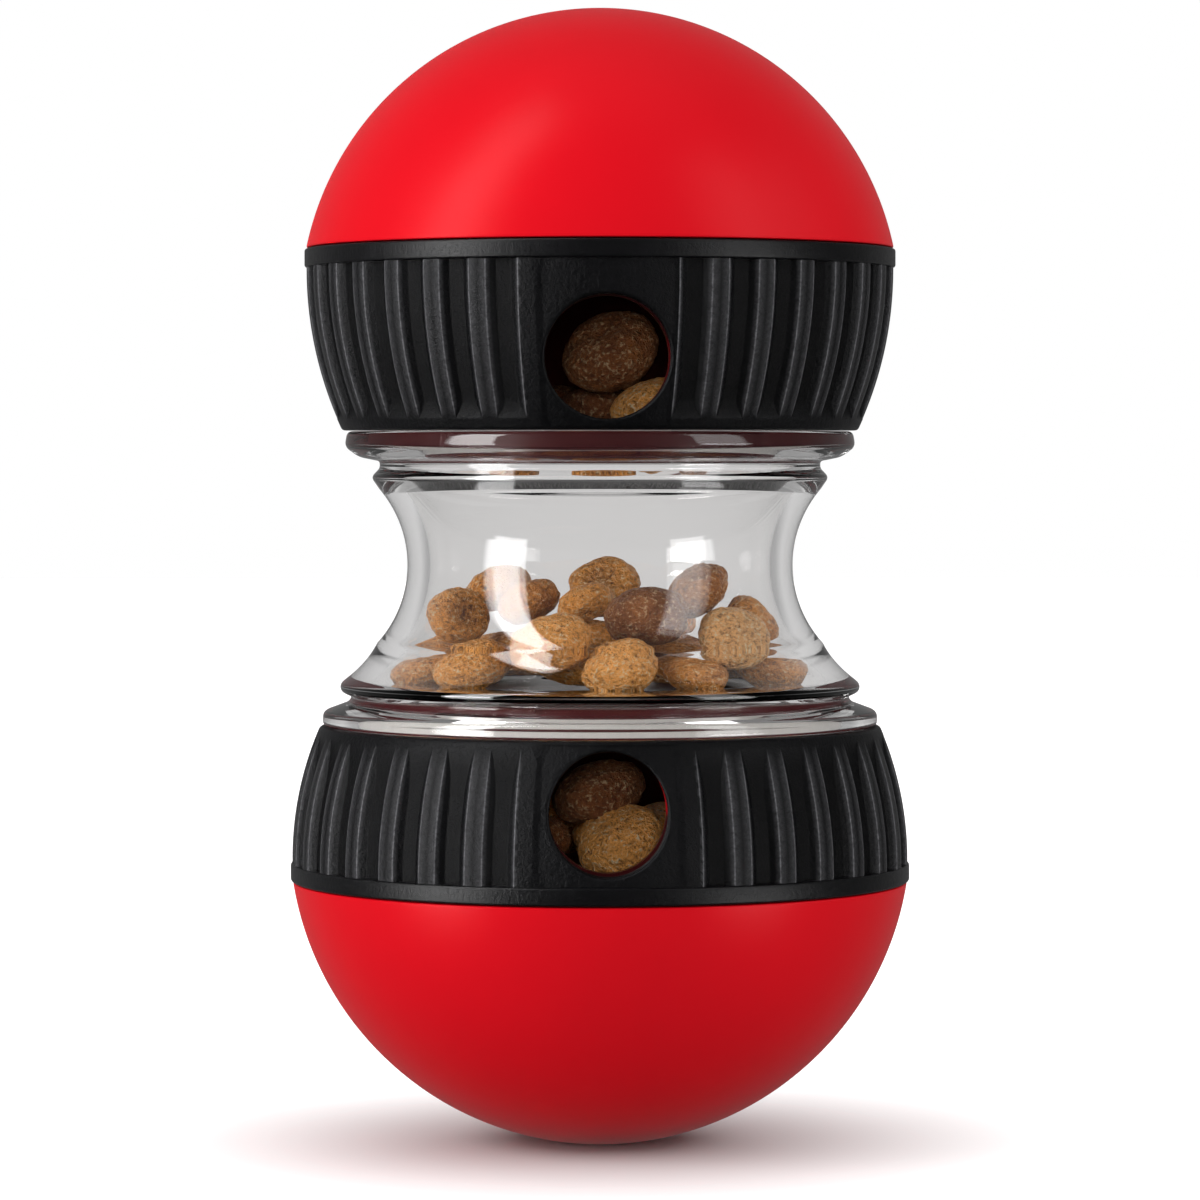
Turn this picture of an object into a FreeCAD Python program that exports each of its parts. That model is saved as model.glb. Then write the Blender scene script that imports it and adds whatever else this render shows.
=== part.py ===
import FreeCAD, Part
import math
import os
from types import SimpleNamespace

# Weighted food tumbler: two round ends screwed to a clear waist.
# Millimetres and degrees. +Z is up the axis, the ports face -Y,
# and the origin is the middle of the small flat under the lower dome.

# Lower end, heights measured from its pole
lower_dome_radius = 45.2
lower_dome_wall = 2.4
lower_foot_radius = 6.0
lower_seam_height = 37.9
lower_band_radius = 45.0
lower_band_height = 2.55
lower_tread_length = 19.85
lower_tread_rim_radius = 44.75
lower_tread_mid_radius = 43.85
lower_tread_collar_radius = 40.6
lower_port_height = 50.5
lower_port_width = 16.4
lower_port_tall = 17.1
lower_sleeve_radius = 36.6
lower_flange_reach = 4.4
lower_floor_height = 40.6
lower_groove_count = 35
lower_panel_angle = 30.5
lower_groove_shift = 0.0
lower_groove_runout = 3.6
lower_groove_tip = 3.0
lower_groove_stop = 1.4

# Upper end, heights measured from its pole, which is on top
upper_dome_radius = 43.5
upper_dome_wall = 1.8
upper_seam_height = 34.7
upper_band_radius = 42.85
upper_band_height = 2.65
upper_tread_length = 23.6
upper_tread_rim_radius = 42.6
upper_tread_mid_radius = 41.4
upper_tread_collar_radius = 37.3
upper_port_height = 51.0
upper_port_width = 17.4
upper_port_tall = 17.1
upper_sleeve_radius = 33.4
upper_flange_reach = 6.0
upper_floor_height = 40.6
upper_groove_count = 34
upper_panel_angle = 27.0
upper_groove_shift = 1.8
upper_groove_runout = 2.0
upper_groove_tip = 4.2
upper_groove_stop = 1.8

# Clear waist
waist_height = 42.6
waist_radius = 28.0
waist_wall = 3.2
waist_throat_height = 23.2
waist_foot_radius = 34.6
waist_foot_height = 9.9
waist_neck_radius = 32.1
waist_neck_height = 8.3
waist_edge = 0.7
flange_slope = 0.8
neck_round = 0.6
lower_waist_bore = 33.5
lower_flange_radius = 40.3
lower_flange_height = 2.0
lower_neck_radius = 36.1
lower_neck_height = 3.9
lower_bead_radius = 37.5
lower_bead_height = 5.6
upper_waist_bore = 30.0
upper_flange_radius = 37.0
upper_flange_height = 2.2
upper_neck_radius = 32.0
upper_neck_height = 4.7
upper_bead_radius = 33.1
upper_bead_height = 6.8
upper_throat_bore = 28.8

# Moulded walls and joints that both ends share
seam_gap = 0.15
collar_gap = 0.15
sleeve_wall = 2.1
sleeve_clearance = 0.06
flange_thickness = 1.6
flange_drop = 1.7
ledge_width = 1.2
shoulder_thickness = 1.2
tread_thickness = 2.6
core_skin = 1.6
core_tube_wall = 1.5
web_count = 8
web_thickness = 1.2
stop_width = 3.0
stop_height = 3.6
port_lip = 0.5
rim_round = 0.35
roof_share = 0.7
port_angle = -90.0
cut_past = 1.0
floor_wall = 1.6
floor_round = 1.0
fit_gap = 0.15
overlap = 0.4

# Ribs of the grip treads
groove_depth = 1.0
groove_floor = 2.2
groove_slope = 1.27
groove_lead_in = 0.3
groove_over = 0.6
groove_steps = 3

# Quarter-turn screw joints
spigot_length = 4.0
spigot_clearance = 0.3
spigot_wall = 1.8
lug_count = 3
lug_span = 26.0
lug_height = 1.2
lug_reach = 0.9
lug_end_margin = 0.4
lug_clearance = 0.3
thread_lead = 12.0
joint_turn = 75.0
seal_width = 1.8
seal_thickness = 1.0
seal_clearance = 0.05

# Transfer plates
baffle_thickness = 1.6
baffle_depth = 0.8
baffle_seat_width = 0.9
transfer_hole_radius = 8.5
transfer_hole_offset = 18.0

# Ballast
ballast_top = 26.0
ballast_gap = 0.3
ballast_screw_circle = 20.0
ballast_boss_radius = 3.0
ballast_boss_top = 14.0
ballast_screw_length = 18.0

# Screws
screw_count = 3
screw_angle = 30.0
screw_radius = 1.4
screw_tip_radius = 0.5
screw_play = 0.02
pilot_spare = 0.4
screw_hole_radius = 1.7
screw_head_height = 1.4
screw_slot_width = 0.7
screw_slot_depth = 0.7
screw_slot_reach = 1.3
cup_screw_head_radius = 2.1
cup_screw_length = 8.0
cup_boss_radius = 2.9
cup_boss_depth = 7.5
screw_offset = 0.2
ballast_head_radius = 3.0
dome_seal_thickness = 0.8
dome_seal_reach = 2.8

# Kibble
kibble_radius = 6.5
kibble_half_height = 4.5
kibble_edge_radius = 3.4
kibble_gap = 0.2
wall_gap = 0.4
skin_points = 220
settle_step = 0.1

X = FreeCAD.Vector(1, 0, 0)
Y = FreeCAD.Vector(0, 1, 0)
Z = FreeCAD.Vector(0, 0, 1)
middle = FreeCAD.Vector(0, 0, 0)


def at(radius, height, angle=0.0):
    # a point in the half plane turned by angle from +X
    turn = math.radians(angle)
    return FreeCAD.Vector(radius * math.cos(turn), radius * math.sin(turn), height)


def turned(start, *steps):
    # a solid of revolution: a step is a corner, or an arc given as (middle, end)
    edges = []
    here = start
    for step in steps + (start,):
        if isinstance(step[0], tuple):
            edges.append(Part.Arc(at(*here), at(*step[0]), at(*step[1])).toShape())
            here = step[1]
        elif math.dist(here, step) > 1e-6:
            edges.append(Part.makeLine(at(*here), at(*step)))
            here = step
    face = Part.Face(Part.Wire(edges))
    return face.revolve(middle, Z, 360)


def circle_through(a, b, c):
    # centre and radius of the circle through three (radius, height) points
    circle = Part.Arc(at(*a), at(*b), at(*c)).toShape().Curve
    return (circle.Center.x, circle.Center.z), circle.Radius


def arc_step(centre, radius, start, end):
    # the short arc about a centre, as a step for turned
    dx = (start[0] + end[0]) / 2 - centre[0]
    dz = (start[1] + end[1]) / 2 - centre[1]
    scale = radius / math.hypot(dx, dz)
    return ((centre[0] + dx * scale, centre[1] + dz * scale), end)


def place(shape, end):
    # the upper end is built pole down like the lower one, then turned over
    if end.flipped:
        shape = shape.copy()
        shape.rotate(middle, Y, 180)
        shape.translate(Z * overall_height)
    return shape


def around(shape, count, first=0.0):
    turned_copies = []
    for step in range(count):
        copy = shape.copy()
        copy.rotate(middle, Z, first + step * 360.0 / count)
        turned_copies.append(copy)
    return turned_copies


def derive(end):
    # heights and radii that follow from an end's own sizes
    end.centre = math.sqrt(end.dome_radius ** 2 - end.foot_radius ** 2)
    end.cavity_radius = end.dome_radius - end.dome_wall
    end.band_bottom = end.seam_height + seam_gap
    end.band_top = end.band_bottom + end.band_height
    end.collar = end.band_top + end.tread_length
    end.flange_top = end.seam_height - flange_drop
    end.flange_bottom = end.flange_top - flange_thickness
    end.brim_bottom = end.flange_bottom - floor_wall
    end.seal_bottom = end.brim_bottom - dome_seal_thickness
    end.flange_radius = end.sleeve_radius + end.flange_reach
    end.mouth_radius = end.flange_radius + fit_gap
    end.ledge_radius = end.flange_radius - ledge_width
    end.screw_circle = (end.sleeve_radius + end.flange_radius) / 2 + screw_offset
    end.sleeve_bore = end.sleeve_radius - sleeve_wall
    end.core_bore = end.sleeve_radius + sleeve_clearance
    end.spigot_radius = end.waist_bore - spigot_clearance
    end.spigot_bore = end.spigot_radius - spigot_wall
    end.spigot_end = end.collar + spigot_length
    end.baffle_top = end.spigot_end - baffle_depth
    end.baffle_bottom = end.baffle_top - baffle_thickness
    end.baffle_seat = end.spigot_bore + baffle_seat_width
    end.lug_top = end.spigot_end - lug_end_margin
    end.lug_middle = end.lug_top - lug_height / 2
    end.pocket_radius = end.tread_rim_radius - tread_thickness - core_skin
    end.tread_middle = (end.band_top + end.collar) / 2
    end.tread_centre, end.tread_arc = circle_through(
        (end.tread_rim_radius, end.band_top),
        (end.tread_mid_radius, end.tread_middle),
        (end.tread_collar_radius, end.collar))
    return end


def tread_radius(end, height):
    rise = height - end.tread_centre[1]
    return end.tread_centre[0] + math.sqrt(end.tread_arc ** 2 - rise ** 2)


lower = derive(SimpleNamespace(
    name="lower", flipped=False, dome_radius=lower_dome_radius, dome_wall=lower_dome_wall,
    foot_radius=lower_foot_radius, seam_height=lower_seam_height, band_radius=lower_band_radius,
    band_height=lower_band_height, tread_length=lower_tread_length,
    tread_rim_radius=lower_tread_rim_radius, tread_mid_radius=lower_tread_mid_radius,
    tread_collar_radius=lower_tread_collar_radius, port_height=lower_port_height,
    port_width=lower_port_width, port_tall=lower_port_tall, sleeve_radius=lower_sleeve_radius,
    flange_reach=lower_flange_reach, floor_height=lower_floor_height,
    groove_count=lower_groove_count, panel_angle=lower_panel_angle, groove_shift=lower_groove_shift,
    groove_runout=lower_groove_runout, groove_tip=lower_groove_tip, groove_stop=lower_groove_stop,
    waist_bore=lower_waist_bore, floor_name="lower_floor"))

upper = derive(SimpleNamespace(
    name="upper", flipped=True, dome_radius=upper_dome_radius, dome_wall=upper_dome_wall,
    foot_radius=0.0, seam_height=upper_seam_height, band_radius=upper_band_radius,
    band_height=upper_band_height, tread_length=upper_tread_length,
    tread_rim_radius=upper_tread_rim_radius, tread_mid_radius=upper_tread_mid_radius,
    tread_collar_radius=upper_tread_collar_radius, port_height=upper_port_height,
    port_width=upper_port_width, port_tall=upper_port_tall, sleeve_radius=upper_sleeve_radius,
    flange_reach=upper_flange_reach, floor_height=upper_floor_height,
    groove_count=upper_groove_count, panel_angle=upper_panel_angle, groove_shift=upper_groove_shift,
    groove_runout=upper_groove_runout, groove_tip=upper_groove_tip, groove_stop=upper_groove_stop,
    waist_bore=upper_waist_bore, floor_name="upper_ceiling"))

waist_bottom = lower.collar + collar_gap
waist_top = waist_bottom + waist_height
overall_height = waist_top + collar_gap + upper.collar


def screw(head_radius, length):
    # pan head on Z = 0 with a cross slot, shank pointing down
    round_over = screw_head_height / 2
    soft = round_over * (1 - math.sqrt(0.5))
    head = turned((0, 0), (head_radius, 0), (head_radius, screw_head_height - round_over),
                  ((head_radius - soft, screw_head_height - soft),
                   (head_radius - round_over, screw_head_height)),
                  (0, screw_head_height))
    shank = turned((0, -length), (screw_tip_radius, -length), (screw_radius, screw_radius - length),
                   (screw_radius, 0), (0, 0))
    slot = Part.makeBox(2 * screw_slot_reach, screw_slot_width, screw_slot_depth,
                        FreeCAD.Vector(-screw_slot_reach, -screw_slot_width / 2,
                                       screw_head_height - screw_slot_depth))
    cross = slot.copy()
    cross.rotate(middle, Z, 90)
    return head.fuse(shank).cut([slot, cross]).removeSplitter()


def screws_on(circle, height, head_radius, length):
    one = screw(head_radius, length)
    one.translate(at(circle, height))
    return around(one, screw_count, screw_angle)


def holes_on(circle, radius, bottom, top):
    hole = Part.makeCylinder(radius, top - bottom, at(circle, bottom))
    return around(hole, screw_count, screw_angle)


def port_cutter(end, near, far, grow=0.0):
    # elliptical bore along -Y between two distances from the axis
    wide = X * (end.port_width / 2 + grow)
    tall = Z * (end.port_tall / 2 + grow)
    centre = FreeCAD.Vector(0, -near, end.port_height)
    major, minor = (wide, tall) if wide.Length >= tall.Length else (tall, wide)
    ellipse = Part.Ellipse(centre + major, centre + minor, centre)
    face = Part.Face(Part.Wire([ellipse.toShape()]))
    return face.extrude(FreeCAD.Vector(0, near - far, 0))


def helix_bar(radius, middle_height, start_angle, end_angle, half_height, inner, outer):
    # a rectangular bar wound along the thread's helix, its height given at angle 0
    span = end_angle - start_angle
    rise = thread_lead * span / 360.0
    helix = Part.makeHelix(thread_lead, rise, radius)
    profile = Part.makePolygon([at(inner, -half_height), at(outer, -half_height),
                                at(outer, half_height), at(inner, half_height),
                                at(inner, -half_height)])
    bar = Part.Wire(helix.Edges).makePipeShell([profile], True, True)
    bar.rotate(middle, Z, start_angle)
    bar.translate(Z * (middle_height + thread_lead * start_angle / 360.0))
    return bar


def spigot_lugs(end):
    # screw lugs on the outside of the spigot
    bar = helix_bar(end.spigot_radius, end.lug_middle, -lug_span / 2, lug_span / 2,
                    lug_height / 2, end.spigot_radius - overlap, end.waist_bore + lug_reach)
    return around(bar, lug_count)


def lug_tracks(end):
    # helical tracks in the waist, from where the lugs rest out to the seal's counterbore
    play = math.degrees(lug_clearance / end.waist_bore)
    drop = end.lug_top - end.collar - seal_thickness
    exit_turn = drop / thread_lead * 360.0
    bar = helix_bar(end.waist_bore, end.lug_middle, -exit_turn - lug_span / 2 - play,
                    lug_span / 2 + play, lug_height / 2 + lug_clearance,
                    end.waist_bore - 2 * overlap, end.waist_bore + lug_reach + lug_clearance)
    return around(bar, lug_count)


def dome(end):
    centre = (0, end.centre)
    outer_seam = math.sqrt(end.dome_radius ** 2 - (end.centre - end.seam_height) ** 2)
    ledge_bottom = end.centre - math.sqrt(end.cavity_radius ** 2 - end.ledge_radius ** 2)
    pole = (0, end.centre - end.cavity_radius)
    foot = (end.foot_radius, 0)
    shell = turned(
        (0, end.centre - end.dome_radius) if end.foot_radius == 0 else (0, 0),
        foot,
        arc_step(centre, end.dome_radius, foot, (outer_seam, end.seam_height)),
        (end.mouth_radius, end.seam_height),
        (end.mouth_radius, end.seal_bottom),
        (end.ledge_radius, end.seal_bottom),
        (end.ledge_radius, ledge_bottom),
        arc_step(centre, end.cavity_radius, (end.ledge_radius, ledge_bottom), pole))
    skin = Part.makeSphere(end.dome_radius - end.dome_wall / 2, at(0, end.centre))
    posts = holes_on(end.screw_circle, cup_boss_radius, end.seal_bottom - cup_boss_depth, end.seal_bottom)
    if end.name == "lower":
        posts += holes_on(ballast_screw_circle, ballast_boss_radius, 0, ballast_boss_top)
    shell = shell.fuse([post.common(skin) for post in posts])
    pilot = screw_radius + screw_play
    pilot_bottom = end.flange_top - cup_screw_length - pilot_spare
    shell = shell.cut(holes_on(end.screw_circle, pilot, pilot_bottom, end.seal_bottom))
    if end.name == "lower":
        ballast_pilot = ballast_top - ballast_screw_length - pilot_spare
        shell = shell.cut(holes_on(ballast_screw_circle, pilot, ballast_pilot, ballast_boss_top))
    return shell.removeSplitter()


def dome_seal(end):
    # flat gasket over the dome's ledge and bosses, under the floor's brim
    inner = end.screw_circle - dome_seal_reach
    ring = turned((inner, end.seal_bottom), (end.flange_radius, end.seal_bottom),
                  (end.flange_radius, end.brim_bottom), (inner, end.brim_bottom))
    return ring.cut(holes_on(end.screw_circle, screw_hole_radius, end.seal_bottom, end.brim_bottom))


def cup_floor(end):
    # hat-shaped plate: its brim is clamped under the sleeve, its crown meets the port's level
    crown = end.sleeve_bore - fit_gap
    soft = floor_round * (1 - math.sqrt(0.5))
    hat = turned((0, end.floor_height), (crown - floor_round, end.floor_height),
                 ((crown - soft, end.floor_height - soft), (crown, end.floor_height - floor_round)),
                 (crown, end.flange_bottom), (end.flange_radius, end.flange_bottom),
                 (end.flange_radius, end.brim_bottom), (crown - floor_wall, end.brim_bottom),
                 (crown - floor_wall, end.floor_height - floor_wall), (0, end.floor_height - floor_wall))
    return hat.cut(holes_on(end.screw_circle, screw_hole_radius, end.brim_bottom, end.flange_bottom))


def stop_lug(end):
    # lug on the sleeve's flange that limits the grip ring between two of its webs
    inner = end.core_bore + core_tube_wall + overlap
    outer = end.pocket_radius - fit_gap
    lug = Part.makeBox(outer - inner, stop_width, stop_height + overlap,
                       FreeCAD.Vector(inner, -stop_width / 2, end.flange_top - overlap))
    lug.rotate(middle, Z, stop_angle(end))
    return lug


def web_angle(step):
    # the webs straddle the port
    return port_angle + (step + 0.5) * 360.0 / web_count


def bay_play(end):
    # half the angle that one web, the lug and their gaps take from a bay of the ring
    reach = end.core_bore + core_tube_wall
    return math.degrees((web_thickness / 2 + stop_width / 2 + fit_gap) / reach)


def stop_angle(end):
    # the lug lies against the web past the middle of the back bay
    return port_angle + 180.0 + 180.0 / web_count - bay_play(end)


def ring_travel(end):
    return 360.0 / web_count - 2 * bay_play(end)


def sleeve(end):
    under = end.collar - shoulder_thickness
    cup = turned((end.sleeve_bore, end.flange_bottom), (end.flange_radius, end.flange_bottom),
                 (end.flange_radius, end.flange_top), (end.sleeve_radius, end.flange_top),
                 (end.sleeve_radius, end.collar), (end.spigot_radius, end.collar),
                 (end.spigot_radius, end.spigot_end), (end.baffle_seat, end.spigot_end),
                 (end.baffle_seat, end.baffle_bottom), (end.spigot_bore, end.baffle_bottom),
                 (end.spigot_bore, under), (end.sleeve_bore, under))
    cup = cup.fuse(spigot_lugs(end) + [stop_lug(end)])
    cup = cup.cut(port_cutter(end, 0, end.sleeve_radius + cut_past))
    return cup.cut(holes_on(end.screw_circle, screw_hole_radius, end.flange_bottom, end.flange_top))


def ring_core(end):
    # rigid ring with the plain rim band, cored out from the dome side between radial webs
    rim = end.tread_rim_radius - tread_thickness
    mid = end.tread_mid_radius - tread_thickness
    collar = end.tread_collar_radius - tread_thickness
    band = end.band_radius
    edge = rim_round
    soft = edge * (1 - math.sqrt(0.5))
    body = turned((end.core_bore, end.band_bottom), (band - edge, end.band_bottom),
                  ((band - soft, end.band_bottom + soft), (band, end.band_bottom + edge)),
                  (band, end.band_top - edge),
                  ((band - soft, end.band_top - soft), (band - edge, end.band_top)),
                  (rim, end.band_top), ((mid, end.tread_middle), (collar, end.collar)),
                  (end.core_bore, end.collar))
    tube = end.core_bore + core_tube_wall
    skin = tread_thickness + core_skin
    roof = end.band_top + roof_share * end.tread_length
    roof_radius = tread_radius(end, roof) - skin
    pocket = turned((tube, end.band_bottom), (end.pocket_radius, end.band_bottom),
                    (end.pocket_radius, end.band_top), (roof_radius, roof), (tube, roof))
    reach = end.band_radius
    web = Part.makeBox(reach, web_thickness, end.collar, FreeCAD.Vector(0, -web_thickness / 2, 0))
    webs = []
    for step in range(web_count):
        copy = web.copy()
        copy.rotate(middle, Z, web_angle(step))
        webs.append(copy)
    port_wall = port_cutter(end, 0, reach, core_tube_wall)
    body = body.cut(pocket.cut(webs + [port_wall]))
    return body.cut(port_cutter(end, 0, reach + cut_past))


def groove_cutter(end):
    # one groove, lofted through trapezoids that follow the tread and shallow out near the collar
    runout_end = end.collar - end.groove_stop
    runout_start = runout_end - end.groove_runout
    first = end.band_top + groove_lead_in
    stations = [end.band_top - groove_lead_in]
    for step in range(groove_steps + 1):
        stations.append(first + (runout_start - first) * step / groove_steps)
    sections = []
    for height in stations + [runout_end]:
        finished = height >= runout_end
        depth = 0.0 if finished else groove_depth
        floor = (end.groove_tip if finished else groove_floor) / 2
        surface = tread_radius(end, height)
        low = surface - depth
        high = surface + groove_over
        wide = floor + groove_slope * (high - low)
        corners = [FreeCAD.Vector(low, -floor, height), FreeCAD.Vector(low, floor, height),
                   FreeCAD.Vector(high, wide, height), FreeCAD.Vector(high, -wide, height)]
        sections.append(Part.makePolygon(corners + corners[:1]))
    return Part.makeLoft(sections, True, True)


def grip_tread(end):
    inner = [(end.tread_rim_radius - tread_thickness, end.band_top),
             (end.tread_mid_radius - tread_thickness, end.tread_middle),
             (end.tread_collar_radius - tread_thickness, end.collar)]
    edge = rim_round
    soft = edge * (1 - math.sqrt(0.5))
    outer_collar = (end.tread_collar_radius - edge, end.collar)
    corner = (tread_radius(end, end.collar - edge), end.collar - edge)
    bend = (end.tread_collar_radius - soft, end.collar - soft)
    rim = (end.tread_rim_radius, end.band_top)
    body = turned(inner[0], rim, arc_step(end.tread_centre, end.tread_arc, rim, corner),
                  (bend, outer_collar), inner[2], (inner[1], inner[0]))
    groove = groove_cutter(end)
    ribbed = 360.0 - end.panel_angle
    pitch = ribbed / end.groove_count
    cutters = []
    for step in range(end.groove_count):
        copy = groove.copy()
        turn = port_angle + end.groove_shift + end.panel_angle / 2 + (step + 0.5) * pitch
        copy.rotate(middle, Z, turn)
        cutters.append(copy)
    body = body.cut(cutters)
    body = body.cut(port_cutter(end, 0, end.band_radius + cut_past))
    rims = [side for side in body.Edges if is_port_rim(end, side)]
    return body.makeFillet(port_lip, rims)


def is_port_rim(end, edge):
    # the outer edge of the port: its middle lies near the tread's surface, inside the port's box
    spot = edge.CenterOfMass
    box = edge.BoundBox
    inside = box.XLength <= end.port_width + fit_gap and box.ZLength <= end.port_tall + fit_gap
    near = math.hypot(spot.x, spot.z - end.port_height) < end.port_tall / 2
    outer = -box.YMin > tread_radius(end, end.port_height) - tread_thickness / 2
    return box.YMax < 0 and inside and near and outer


def baffle(end):
    plate = turned((0, end.baffle_bottom), (end.baffle_seat - seal_clearance, end.baffle_bottom),
                   (end.baffle_seat - seal_clearance, end.baffle_top), (0, end.baffle_top))
    hole = Part.makeCylinder(transfer_hole_radius, baffle_thickness,
                             FreeCAD.Vector(0, transfer_hole_offset, end.baffle_bottom))
    return plate.cut(hole)


def joint_seal(end):
    inner = end.spigot_radius + seal_clearance
    return turned((inner, end.collar), (inner + seal_width, end.collar),
                  (inner + seal_width, end.collar + seal_thickness),
                  (inner, end.collar + seal_thickness))


def counterbore(end):
    # radius and depth of the seal's seat in the waist's mouth
    radius = end.spigot_radius + seal_clearance + seal_width + fit_gap
    depth = seal_thickness + fit_gap - collar_gap
    return radius, depth


waist_foot = (waist_foot_radius, waist_bottom + waist_foot_height)
waist_neck = (waist_neck_radius, waist_top - waist_neck_height)
waist_middle = (waist_radius, waist_bottom + waist_throat_height)
waist_centre, waist_arc = circle_through(waist_foot, waist_middle, waist_neck)


def waist_inner(height):
    # radius of the waist's inner wall, concentric with the outer curve between the two bores
    rise = height - waist_centre[1]
    inside = max((waist_arc + waist_wall) ** 2 - rise ** 2, 0.0)
    curve = waist_centre[0] - math.sqrt(inside)
    return min(curve, lower_waist_bore if rise < 0 else upper_throat_bore)


def inner_curve_height(radius, side):
    # height at which the inner curve reaches a bore, side -1 below and 1 above the throat
    reach = waist_centre[0] - radius
    return waist_centre[1] + side * math.sqrt((waist_arc + waist_wall) ** 2 - reach ** 2)


def clear_waist():
    low = waist_bottom
    high = waist_top
    low_seat, low_depth = counterbore(lower)
    high_seat, high_depth = counterbore(upper)
    low_start = (lower_waist_bore, inner_curve_height(lower_waist_bore, -1))
    high_end = (upper_throat_bore, inner_curve_height(upper_throat_bore, 1))
    ledge = high - spigot_length + collar_gap - lug_clearance
    edge = waist_edge
    soft = edge * (1 - math.sqrt(0.5))
    low_rim = lower_flange_radius
    low_shelf = low + lower_flange_height
    low_neck = low + lower_neck_height
    bead_low = (lower_bead_radius, low + lower_bead_height)
    bead_high = (upper_bead_radius, high - upper_bead_height)
    high_rim = upper_flange_radius
    high_shelf = high - upper_flange_height
    high_neck = high - upper_neck_height
    body = turned(
        (low_seat, low), (low_rim - edge, low),
        ((low_rim - soft, low + soft), (low_rim, low + edge)),
        ((low_rim - soft / 2, low_shelf - edge), (low_rim - edge, low_shelf)),
        (lower_neck_radius + flange_slope, low_neck - neck_round),
        ((lower_neck_radius, low_neck), (lower_neck_radius + neck_round, low_neck + neck_round)),
        (bead_low, (lower_bead_radius - neck_round, bead_low[1] + 2 * neck_round)),
        waist_foot,
        (waist_middle, waist_neck),
        (bead_high, (upper_neck_radius + neck_round, high_neck - neck_round)),
        ((upper_neck_radius, high_neck), (upper_neck_radius + neck_round, high_neck + neck_round)),
        (high_rim - 2 * edge - flange_slope, high_neck + flange_slope),
        (high_rim - soft, high_shelf),
        ((high_rim, high_shelf + edge), (high_rim - soft, high - edge)),
        ((high_rim - 2 * soft, high - soft), (high_rim - edge, high)),
        (high_seat, high), (high_seat, high - high_depth), (upper_waist_bore, high - high_depth),
        (upper_waist_bore, ledge), (upper_throat_bore, ledge),
        high_end,
        arc_step(waist_centre, waist_arc + waist_wall, high_end, low_start),
        (lower_waist_bore, low + low_depth), (low_seat, low + low_depth))
    tracks = [place(bar, end) for end in (lower, upper) for bar in lug_tracks(end)]
    return body.cut(tracks)


def ballast():
    centre = (0, lower.centre)
    radius = lower.cavity_radius - ballast_gap
    rim = math.sqrt(radius ** 2 - (lower.centre - ballast_top) ** 2)
    pole = (0, lower.centre - radius)
    body = turned(pole, arc_step(centre, radius, pole, (rim, ballast_top)), (0, ballast_top))
    boss_room = holes_on(ballast_screw_circle, ballast_boss_radius + ballast_gap, 0,
                         ballast_boss_top + ballast_gap)
    shank_room = holes_on(ballast_screw_circle, screw_hole_radius, 0, ballast_top)
    cup_boss_bottom = lower.seal_bottom - cup_boss_depth
    cup_boss_room = holes_on(lower.screw_circle, cup_boss_radius + ballast_gap,
                             cup_boss_bottom - ballast_gap, lower.seal_bottom)
    return body.cut(boss_room + shank_room + cup_boss_room)


def kibble_solid(one):
    # a rounded pellet: two shallow caps that run tangent into a round edge
    wide = one.size * kibble_radius
    thick = one.size * kibble_half_height
    edge = one.size * kibble_edge_radius
    reach = wide - edge
    cap = (reach ** 2 + thick ** 2 - edge ** 2) / (2 * (thick - edge))
    meet = (reach * cap / (cap - edge), thick - cap + (cap - thick) * cap / (cap - edge))
    below = (meet[0], -meet[1])
    solid = turned((0, -thick), arc_step((0, cap - thick), cap, (0, -thick), below),
                   ((wide, 0), meet), arc_step((0, thick - cap), cap, meet, (0, thick)))
    solid.rotate(middle, Y, one.tilt)
    solid.rotate(middle, Z, one.heading)
    solid.translate(FreeCAD.Vector(*one.centre))
    return solid


def kibble_axis(one):
    tilt = math.radians(one.tilt)
    heading = math.radians(one.heading)
    return (math.sin(tilt) * math.cos(heading), math.sin(tilt) * math.sin(heading), math.cos(tilt))


def kibble_skin(one):
    # evenly spread points on a pellet's surface, about its centre
    axis = kibble_axis(one)
    heading = math.radians(one.heading)
    side = (-math.sin(heading), math.cos(heading), 0.0)
    front = (side[1] * axis[2], -side[0] * axis[2], side[0] * axis[1] - side[1] * axis[0])
    golden = math.pi * (3 - math.sqrt(5))
    points = []
    for step in range(skin_points):
        up = 1 - 2 * (step + 0.5) / skin_points
        ring = math.sqrt(1 - up * up)
        a = one.size * kibble_radius * ring * math.cos(golden * step)
        b = one.size * kibble_radius * ring * math.sin(golden * step)
        c = one.size * kibble_half_height * up
        points.append(tuple(a * front[i] + b * side[i] + c * axis[i] for i in range(3)))
    return points


def clashes(one, height, other):
    # true if a pellet at this height would touch one that already lies there
    dx = one.x - other.x
    dy = one.y - other.y
    dz = height - other.centre[2]
    reach = kibble_radius * (one.size + other.size) + kibble_gap
    if dx * dx + dy * dy + dz * dz > reach * reach:
        return False
    nx, ny, nz = other.axis
    wide = (kibble_radius * other.size + kibble_gap) ** 2
    thick = (kibble_half_height * other.size + kibble_gap) ** 2
    for px, py, pz in one.skin:
        qx, qy, qz = px + dx, py + dy, pz + dz
        along = qx * nx + qy * ny + qz * nz
        across = qx * qx + qy * qy + qz * qz - along * along
        if across / wide + along * along / thick < 1.0:
            return True
    return False


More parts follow.
